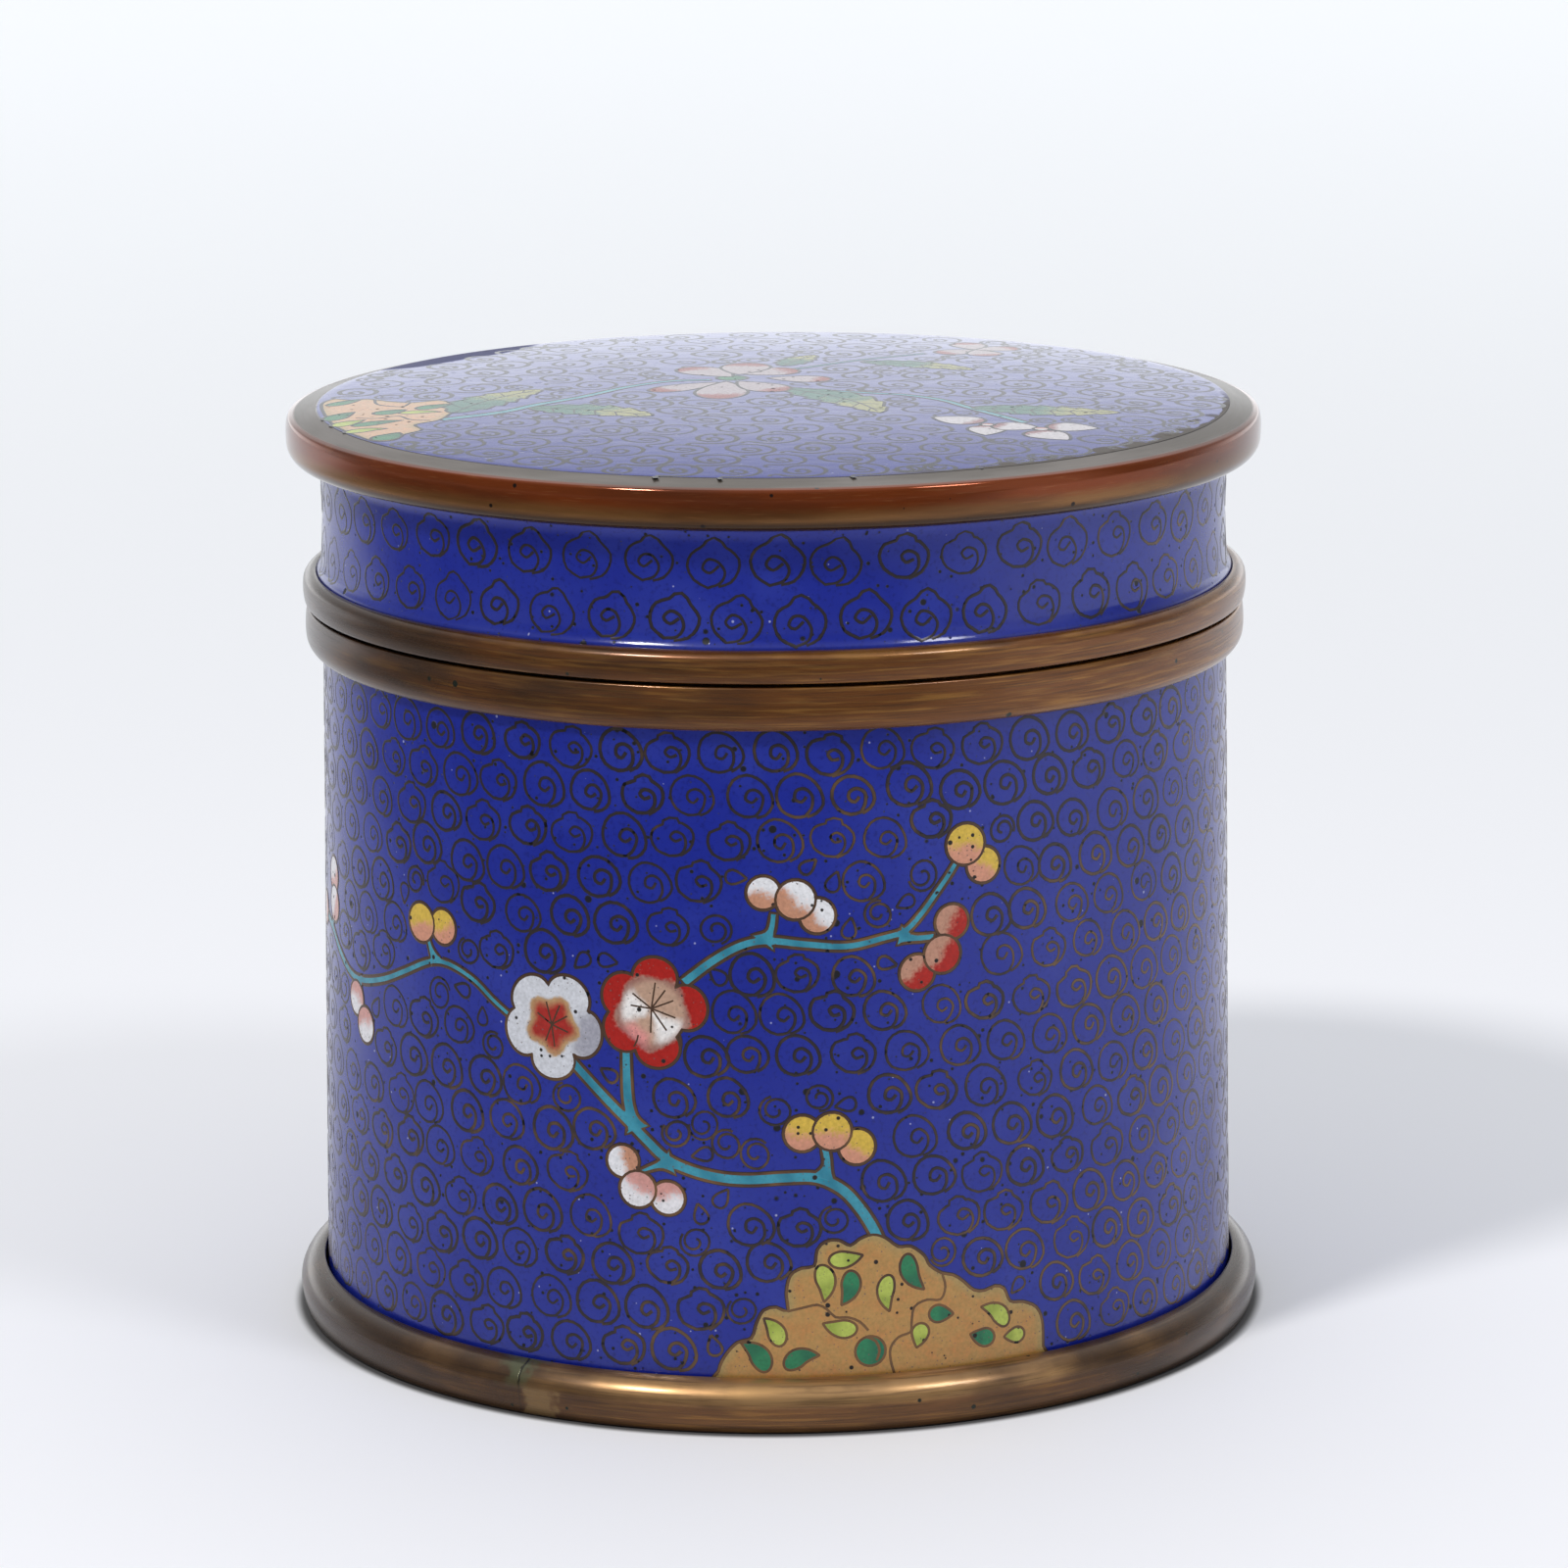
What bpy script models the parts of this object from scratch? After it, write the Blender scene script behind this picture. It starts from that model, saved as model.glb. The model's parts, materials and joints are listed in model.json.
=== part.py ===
"""A round cloisonne jar with a lift-off lid.

The jar and its lid are enamelled copper shells. Brass mouldings are soldered round the foot,
the mouth and the lid's skirt, a copper moulding borders the top of the lid, and a thin brass
collar inside the mouth keeps the lid centred. The jar stands on Z = 0, with its axis on Z.
Sizes are in metres. Each outline is a list of (radius, height) points.
"""

import math

import bmesh
import bpy

MM = 0.001

# Facets round every turned piece, and steps along a quarter round.
FACETS = 64
ROUND_STEPS = 4
SOLDER_GAP = 0.3 * MM

# Jar body: a straight wall, a little wider at the foot, and a flat bottom above the floor.
BODY_FOOT_RADIUS = 46.8 * MM
BODY_MOUTH_RADIUS = 45.9 * MM
BODY_WALL = 2.0 * MM
BODY_BOTTOM = 2.2 * MM
BODY_BAND_HEIGHT = 64.0 * MM
BASE_RECESS = 2.6 * MM

# Foot moulding: a quarter round above a face that turns in a little towards the floor.
FOOT_HEIGHT = 5.2 * MM
FOOT_PROUD = 2.9 * MM
FOOT_FACE_HEIGHT = 2.5 * MM
FOOT_TURN_IN = 0.4 * MM
FOOT_LEDGE = 2.4 * MM
FOOT_EDGE = 0.3 * MM

# Mouth moulding: caps the edge of the wall, flat on top where the lid lands.
MOUTH_HEIGHT = 4.4 * MM
MOUTH_PROUD = 1.8 * MM
MOUTH_CAP = 1.0 * MM
MOUTH_ROUND_HEIGHT = 1.5 * MM
MOUTH_ROUND_DEPTH = 0.9 * MM

# Collar: stands in the mouth and locates the lid.
COLLAR_WALL = 0.8 * MM
COLLAR_DEPTH = 7.0 * MM
COLLAR_RISE = 5.0 * MM
COLLAR_ROUND = 0.25 * MM
COLLAR_CLEARANCE = 0.5 * MM

# Lid shell: a slightly hollow band under a low dome.
LID_SEAT_GAP = 0.35 * MM
LID_WALL = 2.1 * MM
LID_TOP = 2.2 * MM
LID_BAND_HEIGHT = 11.6 * MM
LID_BAND_HOLLOW = 0.3 * MM
LID_DOME_RISE = 0.8 * MM
LID_DOME_POWER = 3.0
LID_INNER_ROUND = 1.2 * MM

# Skirt moulding: caps the lower edge of the lid's wall.
SKIRT_HEIGHT = 3.1 * MM
SKIRT_PROUD = 1.7 * MM
SKIRT_CAP = 0.9 * MM
SKIRT_ROUND_HEIGHT = 0.9 * MM
SKIRT_ROUND_DEPTH = 0.9 * MM

# Top moulding: a sloping border, a bulged face and a short underside.
TOP_HEIGHT = 4.9 * MM
TOP_PROUD = 3.1 * MM
TOP_SLOPE_DROP = 0.65 * MM
TOP_SHOULDER_HEIGHT = 1.3 * MM
TOP_SHOULDER_DEPTH = 0.4 * MM
TOP_UNDER_HEIGHT = 1.7 * MM
TOP_UNDER_DEPTH = 1.5 * MM

# Levels and radii that follow from the sizes above.
BODY_BAND_TOP = FOOT_HEIGHT + BODY_BAND_HEIGHT
MOUTH_TOP = BODY_BAND_TOP + MOUTH_HEIGHT
BODY_TOP = MOUTH_TOP - MOUTH_CAP - SOLDER_GAP
BODY_FLOOR = BASE_RECESS + BODY_BOTTOM
MOUTH_BORE = BODY_MOUTH_RADIUS - BODY_WALL
COLLAR_RADIUS = MOUTH_BORE - SOLDER_GAP
LID_SEAT = MOUTH_TOP + LID_SEAT_GAP
LID_BORE = COLLAR_RADIUS + COLLAR_CLEARANCE
LID_RADIUS = LID_BORE + LID_WALL

# Levels within the lid, measured up from its seat.
LID_BAND_BOTTOM = SKIRT_HEIGHT
LID_BAND_TOP = SKIRT_HEIGHT + LID_BAND_HEIGHT
LID_EDGE = LID_BAND_TOP + TOP_HEIGHT
LID_WALL_BOTTOM = SKIRT_CAP + SOLDER_GAP
LID_CEILING = LID_EDGE - LID_TOP


def body_radius(height):
    """The outer radius of the jar's wall at a height above the floor."""
    share = (height - BASE_RECESS) / (BODY_TOP - BASE_RECESS)
    return BODY_FOOT_RADIUS + (BODY_MOUTH_RADIUS - BODY_FOOT_RADIUS) * share


def quarter(start, end, level_first):
    """Points after start on the quarter ellipse to end, which leaves start level or upright."""
    (r0, z0), (r1, z1) = start, end
    points = []
    for step in range(1, ROUND_STEPS + 1):
        turn = math.pi / 2 * step / ROUND_STEPS
        if level_first:
            points.append((r0 + (r1 - r0) * math.sin(turn), z1 + (z0 - z1) * math.cos(turn)))
        else:
            points.append((r1 + (r0 - r1) * math.cos(turn), z0 + (z1 - z0) * math.sin(turn)))
    return points


def body_outline():
    """From the middle of the inside floor, up and over the wall, to the middle of the underside."""
    return [
        (0.0, BODY_FLOOR),
        (body_radius(BODY_FLOOR) - BODY_WALL, BODY_FLOOR),
        (body_radius(BODY_TOP) - BODY_WALL, BODY_TOP),
        (body_radius(BODY_TOP), BODY_TOP),
        (body_radius(FOOT_HEIGHT), FOOT_HEIGHT),
        (body_radius(BASE_RECESS), BASE_RECESS),
        (0.0, BASE_RECESS),
    ]


def foot_outline():
    """The foot moulding, from its top edge down the outside and back up round the body."""
    inner = body_radius(FOOT_HEIGHT) + SOLDER_GAP
    widest = body_radius(FOOT_HEIGHT) + FOOT_PROUD
    top = (inner, FOOT_HEIGHT)
    bead = (widest, FOOT_FACE_HEIGHT)
    sole = widest - FOOT_TURN_IN
    ledge = BASE_RECESS - SOLDER_GAP
    return [
        top,
        *quarter(top, bead, level_first=True),
        (sole, FOOT_EDGE),
        (sole - FOOT_EDGE, 0.0),
        (body_radius(BASE_RECESS) - FOOT_LEDGE, 0.0),
        (body_radius(BASE_RECESS) - FOOT_LEDGE, ledge),
        (body_radius(BASE_RECESS) + SOLDER_GAP, ledge),
    ]


def mouth_outline():
    """The mouth moulding, flat on top, rounded in below, and hooked over the edge of the wall."""
    widest = BODY_MOUTH_RADIUS + MOUTH_PROUD
    inner = body_radius(BODY_BAND_TOP) + SOLDER_GAP
    round_top = (widest, BODY_BAND_TOP + MOUTH_ROUND_HEIGHT)
    round_end = (widest - MOUTH_ROUND_DEPTH, BODY_BAND_TOP)
    return [
        (MOUTH_BORE, MOUTH_TOP),
        (widest, MOUTH_TOP),
        round_top,
        *quarter(round_top, round_end, level_first=False),
        (inner, BODY_BAND_TOP),
        (inner, MOUTH_TOP - MOUTH_CAP),
        (MOUTH_BORE, MOUTH_TOP - MOUTH_CAP),
    ]


def collar_outline():
    """The collar: a plain band with its top edge eased on both sides."""
    bottom = MOUTH_TOP - COLLAR_DEPTH
    top = MOUTH_TOP + COLLAR_RISE
    bore = COLLAR_RADIUS - COLLAR_WALL
    return [
        (COLLAR_RADIUS - COLLAR_ROUND, top),
        (COLLAR_RADIUS, top - COLLAR_ROUND),
        (COLLAR_RADIUS, bottom),
        (bore, bottom),
        (bore, top - COLLAR_ROUND),
        (bore + COLLAR_ROUND, top),
    ]


def dome_height(radius):
    """The height of the lid's top at a radius, nearly flat in the middle and falling at the rim."""
    return LID_EDGE + LID_DOME_RISE * (1 - (radius / LID_RADIUS) ** LID_DOME_POWER)


def lid_outline():
    """From the top of the dome, down the band and back up inside to the middle of the ceiling."""
    dome = [(LID_RADIUS * share, dome_height(LID_RADIUS * share)) for share in (0, 0.5, 0.8, 1)]
    middle = LID_BAND_BOTTOM + LID_BAND_HEIGHT / 2
    corner = (LID_BORE, LID_CEILING - LID_INNER_ROUND)
    ceiling = (LID_BORE - LID_INNER_ROUND, LID_CEILING)
    return [
        *dome,
        (LID_RADIUS, LID_BAND_TOP),
        (LID_RADIUS - LID_BAND_HOLLOW, middle),
        (LID_RADIUS, LID_BAND_BOTTOM),
        (LID_RADIUS, LID_WALL_BOTTOM),
        (LID_BORE, LID_WALL_BOTTOM),
        corner,
        *quarter(corner, ceiling, level_first=False),
        (0.0, LID_CEILING),
    ]


def skirt_outline():
    """The skirt moulding: eased above, flat below, and hooked under the lid's wall."""
    widest = LID_RADIUS + SKIRT_PROUD
    inner = LID_RADIUS + SOLDER_GAP
    round_start = (widest - SKIRT_ROUND_DEPTH, SKIRT_HEIGHT)
    round_end = (widest, SKIRT_HEIGHT - SKIRT_ROUND_HEIGHT)
    return [
        (inner, SKIRT_HEIGHT),
        round_start,
        *quarter(round_start, round_end, level_first=True),
        (widest, 0.0),
        (LID_BORE, 0.0),
        (LID_BORE, SKIRT_CAP),
        (inner, SKIRT_CAP),
    ]


def top_outline():
    """The top moulding, from the edge of the enamel out, down and under."""
    widest = LID_RADIUS + TOP_PROUD
    inner = LID_RADIUS + SOLDER_GAP
    shoulder = (widest - TOP_SHOULDER_DEPTH, LID_EDGE - TOP_SLOPE_DROP)
    bulge = (widest, shoulder[1] - TOP_SHOULDER_HEIGHT)
    under_start = (widest, LID_BAND_TOP + TOP_UNDER_HEIGHT)
    under_end = (widest - TOP_UNDER_DEPTH, LID_BAND_TOP)
    return [
        (inner, LID_EDGE),
        shoulder,
        *quarter(shoulder, bulge, level_first=True),
        under_start,
        *quarter(under_start, under_end, level_first=False),
        (inner, LID_BAND_TOP),
    ]


def linear(channel):
    """One sRGB channel from 0 to 255 as the linear value that a shader takes."""
    value = channel / 255
    return value / 12.92 if value <= 0.04045 else ((value + 0.055) / 1.055) ** 2.4


def material(name, colour, roughness, metallic):
    """A plain finish of one colour."""
    finish = bpy.data.materials.new(name)
    finish.use_nodes = True
    shader = finish.node_tree.nodes["Principled BSDF"]
    shader.inputs["Base Color"].default_value = (*map(linear, colour), 1.0)
    shader.inputs["Roughness"].default_value = roughness
    shader.inputs["Metallic"].default_value = metallic
    return finish


def turned(name, outline, finish, parent):
    """A piece turned from its outline: a closed ring, or a shell whose outline ends on the axis."""
    drawing = bmesh.new()
    points = [drawing.verts.new((radius, 0.0, height)) for radius, height in outline]
    ends_on_axis = outline[0][0] == 0.0 and outline[-1][0] == 0.0
    pairs = list(zip(points, points[1:]))
    if not ends_on_axis:
        pairs.append((points[-1], points[0]))
    edges = [drawing.edges.new(pair) for pair in pairs]
    bmesh.ops.spin(
        drawing,
        geom=points + edges,
        cent=(0, 0, 0),
        axis=(0, 0, 1),
        angle=math.tau,
        steps=FACETS,
        use_merge=True,
    )
    bmesh.ops.remove_doubles(drawing, verts=drawing.verts, dist=1e-7)
    bmesh.ops.recalc_face_normals(drawing, faces=drawing.faces)
    mesh = bpy.data.meshes.new(name)
    drawing.to_mesh(mesh)
    drawing.free()
    mesh.shade_smooth()
    mesh.set_sharp_from_angle(angle=math.radians(35))
    mesh.materials.append(finish)
    piece = bpy.data.objects.new(name, mesh)
    bpy.context.scene.collection.objects.link(piece)
    piece.parent = parent
    return piece


def group(name, height):
    """An empty on the axis, which carries the pieces of the jar or of the lid."""
    holder = bpy.data.objects.new(name, None)
    bpy.context.scene.collection.objects.link(holder)
    holder.location = (0.0, 0.0, height)
    return holder


def main():
    """Clear the scene, then make the jar and its lid."""
    for thing in list(bpy.data.objects):
        bpy.data.objects.remove(thing, do_unlink=True)
    enamel = material("blue_enamel", (38, 45, 132), 0.25, 0.0)
    brass = material("aged_brass", (118, 84, 52), 0.38, 1.0)
    copper = material("polished_copper", (126, 74, 46), 0.25, 1.0)

    jar = group("jar", 0.0)
    turned("jar_body", body_outline(), enamel, jar)
    turned("foot_ring", foot_outline(), brass, jar)
    turned("mouth_ring", mouth_outline(), brass, jar)
    turned("inner_collar", collar_outline(), brass, jar)

    lid = group("lid", LID_SEAT)
    turned("lid_shell", lid_outline(), enamel, lid)
    turned("lid_skirt_ring", skirt_outline(), brass, lid)
    turned("lid_top_ring", top_outline(), copper, lid)


if __name__ == "__main__":
    main()
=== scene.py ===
"""The looks of a round cloisonne jar with a lift-off lid.

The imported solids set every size. Finer turned meshes stand for them. Wires and inlays are drawn
flat, in millimetres, and are then wrapped on the enamel that carries them: on a wall the flat
drawing is unrolled from the front, with the arc length to the right and the height upwards, and
on the lid's top it is seen from above.
"""

from __future__ import annotations

import json
import logging
import math
import random
from dataclasses import dataclass, field, replace
from enum import Enum
from typing import Callable, Protocol, Sequence, Union

import bmesh
import bpy
import numpy as np
from mathutils import Euler, Matrix, Vector
from mathutils.geometry import delaunay_2d_cdt
from mathutils.kdtree import KDTree

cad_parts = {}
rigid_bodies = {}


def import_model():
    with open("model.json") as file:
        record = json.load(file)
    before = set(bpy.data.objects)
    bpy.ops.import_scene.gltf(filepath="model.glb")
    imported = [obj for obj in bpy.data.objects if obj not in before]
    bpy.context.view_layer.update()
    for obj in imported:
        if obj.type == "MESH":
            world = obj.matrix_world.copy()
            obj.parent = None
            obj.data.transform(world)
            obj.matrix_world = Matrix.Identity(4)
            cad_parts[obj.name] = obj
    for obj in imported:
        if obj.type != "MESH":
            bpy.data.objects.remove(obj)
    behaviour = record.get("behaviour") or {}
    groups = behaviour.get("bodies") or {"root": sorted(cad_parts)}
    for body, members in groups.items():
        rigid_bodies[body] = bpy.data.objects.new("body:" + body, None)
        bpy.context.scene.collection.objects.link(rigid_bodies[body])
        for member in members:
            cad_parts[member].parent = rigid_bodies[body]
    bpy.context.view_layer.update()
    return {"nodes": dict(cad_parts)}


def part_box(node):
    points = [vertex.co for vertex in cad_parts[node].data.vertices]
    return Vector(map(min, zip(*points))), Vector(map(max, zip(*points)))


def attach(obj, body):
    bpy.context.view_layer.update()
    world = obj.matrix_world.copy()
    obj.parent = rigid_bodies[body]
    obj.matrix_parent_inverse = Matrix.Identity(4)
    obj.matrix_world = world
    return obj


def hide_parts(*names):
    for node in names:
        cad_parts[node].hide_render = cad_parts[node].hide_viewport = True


LOG = logging.getLogger("cloisonne_jar")
MM = 0.001
BODY = "root"
FACETS = 256
DARK_PATCH_TURN = math.radians(138)

Point = tuple[float, float]
Place = tuple[float, float, float]
Edge = tuple[int, int]
Tint = tuple[int, int, int]
Mesh, Material = bpy.types.Mesh, bpy.types.Material
Nodes = dict[str, bpy.types.Object]


def put(name: str, data: bpy.types.ID) -> bpy.types.Object:
    """Adds an object to the scene.

    Args:
        name: its name.
        data: its mesh, lamp or camera.

    Returns:
        The object.
    """
    made = bpy.data.objects.new(name, data)
    bpy.context.scene.collection.objects.link(made)
    return made


def linear(tint: Tint) -> np.ndarray:
    """Gives an sRGB colour from 0 to 255 as the linear values that a shader takes."""
    shares = [channel / 255 for channel in tint]
    return np.array([s / 12.92 if s <= 0.04045 else ((s + 0.055) / 1.055) ** 2.4 for s in shares])


def smooth(values: np.ndarray, low: float, high: float) -> np.ndarray:
    """Eases values from 0 at low to 1 at high, or the other way if low is the larger."""
    share = np.clip((values - low) / (high - low), 0.0, 1.0)
    return share * share * (3 - 2 * share)


# Node trees


@dataclass(frozen=True)
class Sock:
    """A socket that takes part in the maths of a node tree."""

    tree: NodeTree
    link: bpy.types.NodeSocket

    def maths(self, operation: str, *values: Value) -> Sock:
        """Adds a Math node that works on this socket and the values."""
        sockets = dict(enumerate((self, *values)))
        return self.tree.node("ShaderNodeMath", {"operation": operation}, sockets)

    def __add__(self, other: Value) -> Sock:
        """Adds a value."""
        return self.maths("ADD", other)

    def __sub__(self, other: Value) -> Sock:
        """Takes a value away."""
        return self.maths("SUBTRACT", other)

    def __rsub__(self, other: float) -> Sock:
        """Takes this away from a number."""
        return self * -1.0 + other

    def __mul__(self, other: Value) -> Sock:
        """Multiplies by a value."""
        return self.maths("MULTIPLY", other)

    __radd__, __rmul__ = __add__, __mul__

    def eased(self, low: float, high: float) -> Sock:
        """Eases this from 0 at low to 1 at high, or the other way if low is the larger."""
        ends = {1: min(low, high), 2: max(low, high), 3: float(low > high), 4: float(low <= high)}
        return self.tree.node("ShaderNodeMapRange", {"interpolation_type": "SMOOTHSTEP"}, {0: self, **ends})

    def axes(self) -> list[Sock]:
        """Splits a vector into its three parts."""
        split = self.tree.node("ShaderNodeSeparateXYZ", sockets={0: self})
        return [Sock(self.tree, output) for output in split.link.node.outputs]

    def radius(self) -> Sock:
        """Gives how far a place is from the jar's axis."""
        x, y, _ = self.axes()
        return (x * x + y * y).maths("SQRT")

    def noise(self, size: float, detail: float = 2.0, seed: float = 0.0) -> Sock:
        """Adds noise with features of a size in mm, finer layers by detail, and a shift by seed."""
        sockets = {"Vector": self, "W": seed, "Scale": 1 / (size * MM), "Detail": detail}
        return self.tree.node("ShaderNodeTexNoise", {"noise_dimensions": "4D"}, sockets)

    def specks(self, apart: float, radius: float) -> Sock:
        """Scatters round specks, at most one in each cell.

        Args:
            apart: the size of a cell, in mm.
            radius: the largest radius of a speck, in mm.

        Returns:
            1 within a speck and 0 elsewhere.
        """
        near = self.tree.node("ShaderNodeTexVoronoi", sockets={"Vector": self, "Scale": 1 / (apart * MM)})
        size = Sock(self.tree, near.link.node.outputs["Color"]).axes()[0]
        return (near * (apart / radius) - size).eased(0.1, -0.2)

    def turning(self, along: float, across: float) -> Sock:
        """Stretches places, so that noise on them makes turning marks with no seam.

        Args:
            along: the scale along the marks.
            across: the scale across them.

        Returns:
            The stretched places.
        """
        x, y, z = self.axes()
        sockets = {0: x * along, 1: y * along, 2: z * across + self.radius() * across}
        return self.tree.node("ShaderNodeCombineXYZ", sockets=sockets)


Value = Union[Sock, float]
Colour = Union[Sock, Tint]
Coat = tuple[Colour, Value]


class NodeTree:
    """The nodes of a material, of the world or of a modifier."""

    def __init__(self, tree: bpy.types.NodeTree) -> None:
        """Starts with no nodes."""
        self.nodes, self.links = tree.nodes, tree.links
        self.nodes.clear()

    def node(self, kind: str, settings: dict | None = None, sockets: dict | None = None,
             out: int | str = 0) -> Sock:
        """Adds a node.

        Args:
            kind: the node's type.
            settings: its properties, which are set first.
            sockets: the value or link of each input, by index or name.
            out: the output that the result stands for.

        Returns:
            The chosen output, or the first input of a node without outputs.
        """
        made = self.nodes.new(kind)
        for key, value in (settings or {}).items():
            setattr(made, key, value)
        for key, value in (sockets or {}).items():
            if isinstance(value, Sock):
                self.links.new(value.link, made.inputs[key])
            else:
                made.inputs[key].default_value = value
        return Sock(self, (made.outputs or made.inputs)[out])

    def attribute(self, name: str, out: str = "Color") -> Sock:
        """Reads an attribute of the mesh in a material."""
        return self.node("ShaderNodeAttribute", {"attribute_name": name}, out=out)

    def mix(self, first: Colour, second: Colour, share: Value) -> Sock:
        """Mixes two colours, the first at share 0 and the second at share 1."""
        pair = [tone if isinstance(tone, Sock) else (*linear(tone), 1.0) for tone in (first, second)]
        return self.node("ShaderNodeMix", {"data_type": "RGBA"}, {0: share, 6: pair[0], 7: pair[1]}, 2)

    def coats(self, colour: Colour, *coats: Coat) -> Sock:
        """Lays colours over another.

        Args:
            colour: the lowest colour.
            *coats: the colours over it, each with the share that it covers.

        Returns:
            The colour that shows.
        """
        for tone, share in coats:
            colour = self.mix(colour, tone, share)
        return colour

    def bump(self, height: Sock, strength: float, distance: float) -> Sock:
        """Turns a height into a normal, with the distance in mm."""
        sockets = {"Strength": strength, "Distance": distance * MM, "Height": height}
        return self.node("ShaderNodeBump", sockets=sockets)

    def finish(self, **sockets: Union[Value, Colour]) -> None:
        """Ends a material with a Principled shader, with _ for a space in its inputs' names."""
        named = {key.replace("_", " "): value for key, value in sockets.items()}
        shader = self.node("ShaderNodeBsdfPrincipled", sockets=named)
        self.node("ShaderNodeOutputMaterial", sockets={0: shader})


# Finishes


@dataclass(frozen=True)
class Finish:
    """A finish of the jar. Its patterns follow the object coordinates."""

    name: str

    def make(self) -> Material:
        """Builds the material and gives it."""
        made = bpy.data.materials.new(self.name)
        made.use_nodes = True
        tree = NodeTree(made.node_tree)
        self.dress(tree, tree.node("ShaderNodeTexCoord", out="Object"))
        return made

    def dress(self, tree: NodeTree, place: Sock) -> None:
        """Adds the nodes.

        Args:
            tree: the material's tree.
            place: the object coordinates, in metres.
        """


@dataclass(frozen=True)
class GroundEnamel(Finish):
    """Glossy enamel, a little cloudy and pitted, with pale specks of painted glint. At the lid's rim it has
    a darker, rougher patch and chips.

    Attributes:
        dark_patch_size: the half length and the depth of the darker patch at the rim, in metres.
        rim: the radius of the lid's rim, in metres.
        top: the heights between which the lid's top begins, in metres.
        border: the radii between which a dark line follows the rim, in metres.
    """

    deep: Tint = (24, 38, 139)
    cloudy: Tint = (37, 51, 148)
    dark: Tint = (12, 20, 92)
    roughness: float = 0.13
    # A darker blue for a patch at the rear-left of the lid's rim.
    dark_rim_patch: Tint = (24, 30, 96)
    # Pale blue-white of the painted glints.
    glint_tint: Tint = (168, 172, 208)
    pitted: Tint = (8, 9, 18)
    chipped: Tint = (92, 84, 77)
    line: Tint = (52, 46, 44)
    dark_patch_size: Point = (0.0125, 0.0042)
    rim: float = 0.0462
    top: Point = (0.0925, 0.0929)
    border: Point = (0.04605, 0.04615)

    def dress(self, tree: NodeTree, place: Sock) -> None:
        """Adds the nodes."""
        x, y, height = place.axes()
        clouds, grain = place.noise(10.0, 4.0), place.noise(0.45, 3.0, 3.1)
        top = height.eased(*self.top)
        # A darker, rougher patch of enamel at the rear-left of the rim.
        sine, cosine = math.sin(DARK_PATCH_TURN), math.cos(DARK_PATCH_TURN)
        along = (y * cosine - x * sine) * (1 / self.dark_patch_size[0])
        depth = (x * cosine + y * sine - self.rim) * (1 / self.dark_patch_size[1])
        dark_rim_patch = (along * along + depth * depth + (clouds - 0.5)).eased(1.2, 0.8) * top
        pits = place.specks(1.0, 0.22).maths("MAXIMUM", place.specks(3.0, 0.46))
        pits = pits * (1.0 - top * 0.7)
        # Painted glints: small pale specks scattered over the glaze.
        glint_specks = place.turning(1.1, 1.1).specks(2.1, 0.16)
        chips = self.bites(place) * top
        relief = grain * 0.3 - pits * 1.6 + place.noise(2.6, 1.0, 8.0)
        tree.finish(
            Base_Color=tree.coats(
                self.deep, (self.cloudy, clouds.eased(0.4, 0.75)),
                (self.dark, grain.eased(0.5, 0.75) * 0.5), (self.dark_rim_patch, dark_rim_patch),
                (self.glint_tint, glint_specks * 0.7), (self.pitted, pits), (self.chipped, chips),
                (self.line, place.radius().eased(*self.border) * top)),
            Metallic=chips * 0.6,
            Roughness=clouds * 0.1 + (self.roughness - 0.05) + (pits + dark_rim_patch + chips) * 0.35,
            Normal=tree.bump(relief, 0.4, 0.05))

    def bites(self, place: Sock) -> Sock:
        """Chips the rim in small round bites, mostly at the right.

        Args:
            place: the object coordinates, in metres.

        Returns:
            1 within a bite and 0 elsewhere.
        """
        x, y, _ = place.axes()
        loose = (x - y * 0.75).eased(0.04, 0.05)
        near = place.radius() + (place.noise(3.0, 1.0, 6.0) - 0.5) * 0.0016
        worn = near.eased(self.rim - 0.0008, self.rim - 0.0006) * loose
        round_bites = place.specks(3.0, 2.6) * near.eased(self.rim - 0.0026, self.rim - 0.0021) * loose
        return worn.maths("MAXIMUM", round_bites)


@dataclass(frozen=True)
class InlayEnamel(Finish):
    """Coloured enamel in the wire cells. Its colours and their blend come from the mesh."""

    roughness: float = 0.24
    ragged: float = 0.8
    gritty: Tint = (96, 84, 80)
    pitted: Tint = (28, 20, 18)

    def dress(self, tree: NodeTree, place: Sock) -> None:
        """Adds the nodes."""
        grain = place.noise(0.3, 3.0, 5.0)
        wander = place.noise(1.5, 4.0) - 0.5 + (grain - 0.5) * 0.8
        blend = (tree.attribute("blend", "Fac") + wander * self.ragged).eased(0.25, 0.75)
        colour = tree.mix(tree.attribute("ground"), tree.attribute("blush"), blend)
        shade = tree.node("ShaderNodeHueSaturation", sockets={
            "Value": grain * 0.7 + 0.6, "Color": colour})
        pits = place.specks(1.2, 0.26)
        tree.finish(
            Base_Color=tree.coats(
                shade, (self.gritty, place.specks(0.42, 0.1) * 0.7), (self.pitted, pits)),
            Roughness=grain * 0.12 + (self.roughness - 0.06) + pits * 0.4,
            Normal=tree.bump(grain - pits * 1.5, 0.3, 0.03))


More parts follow.
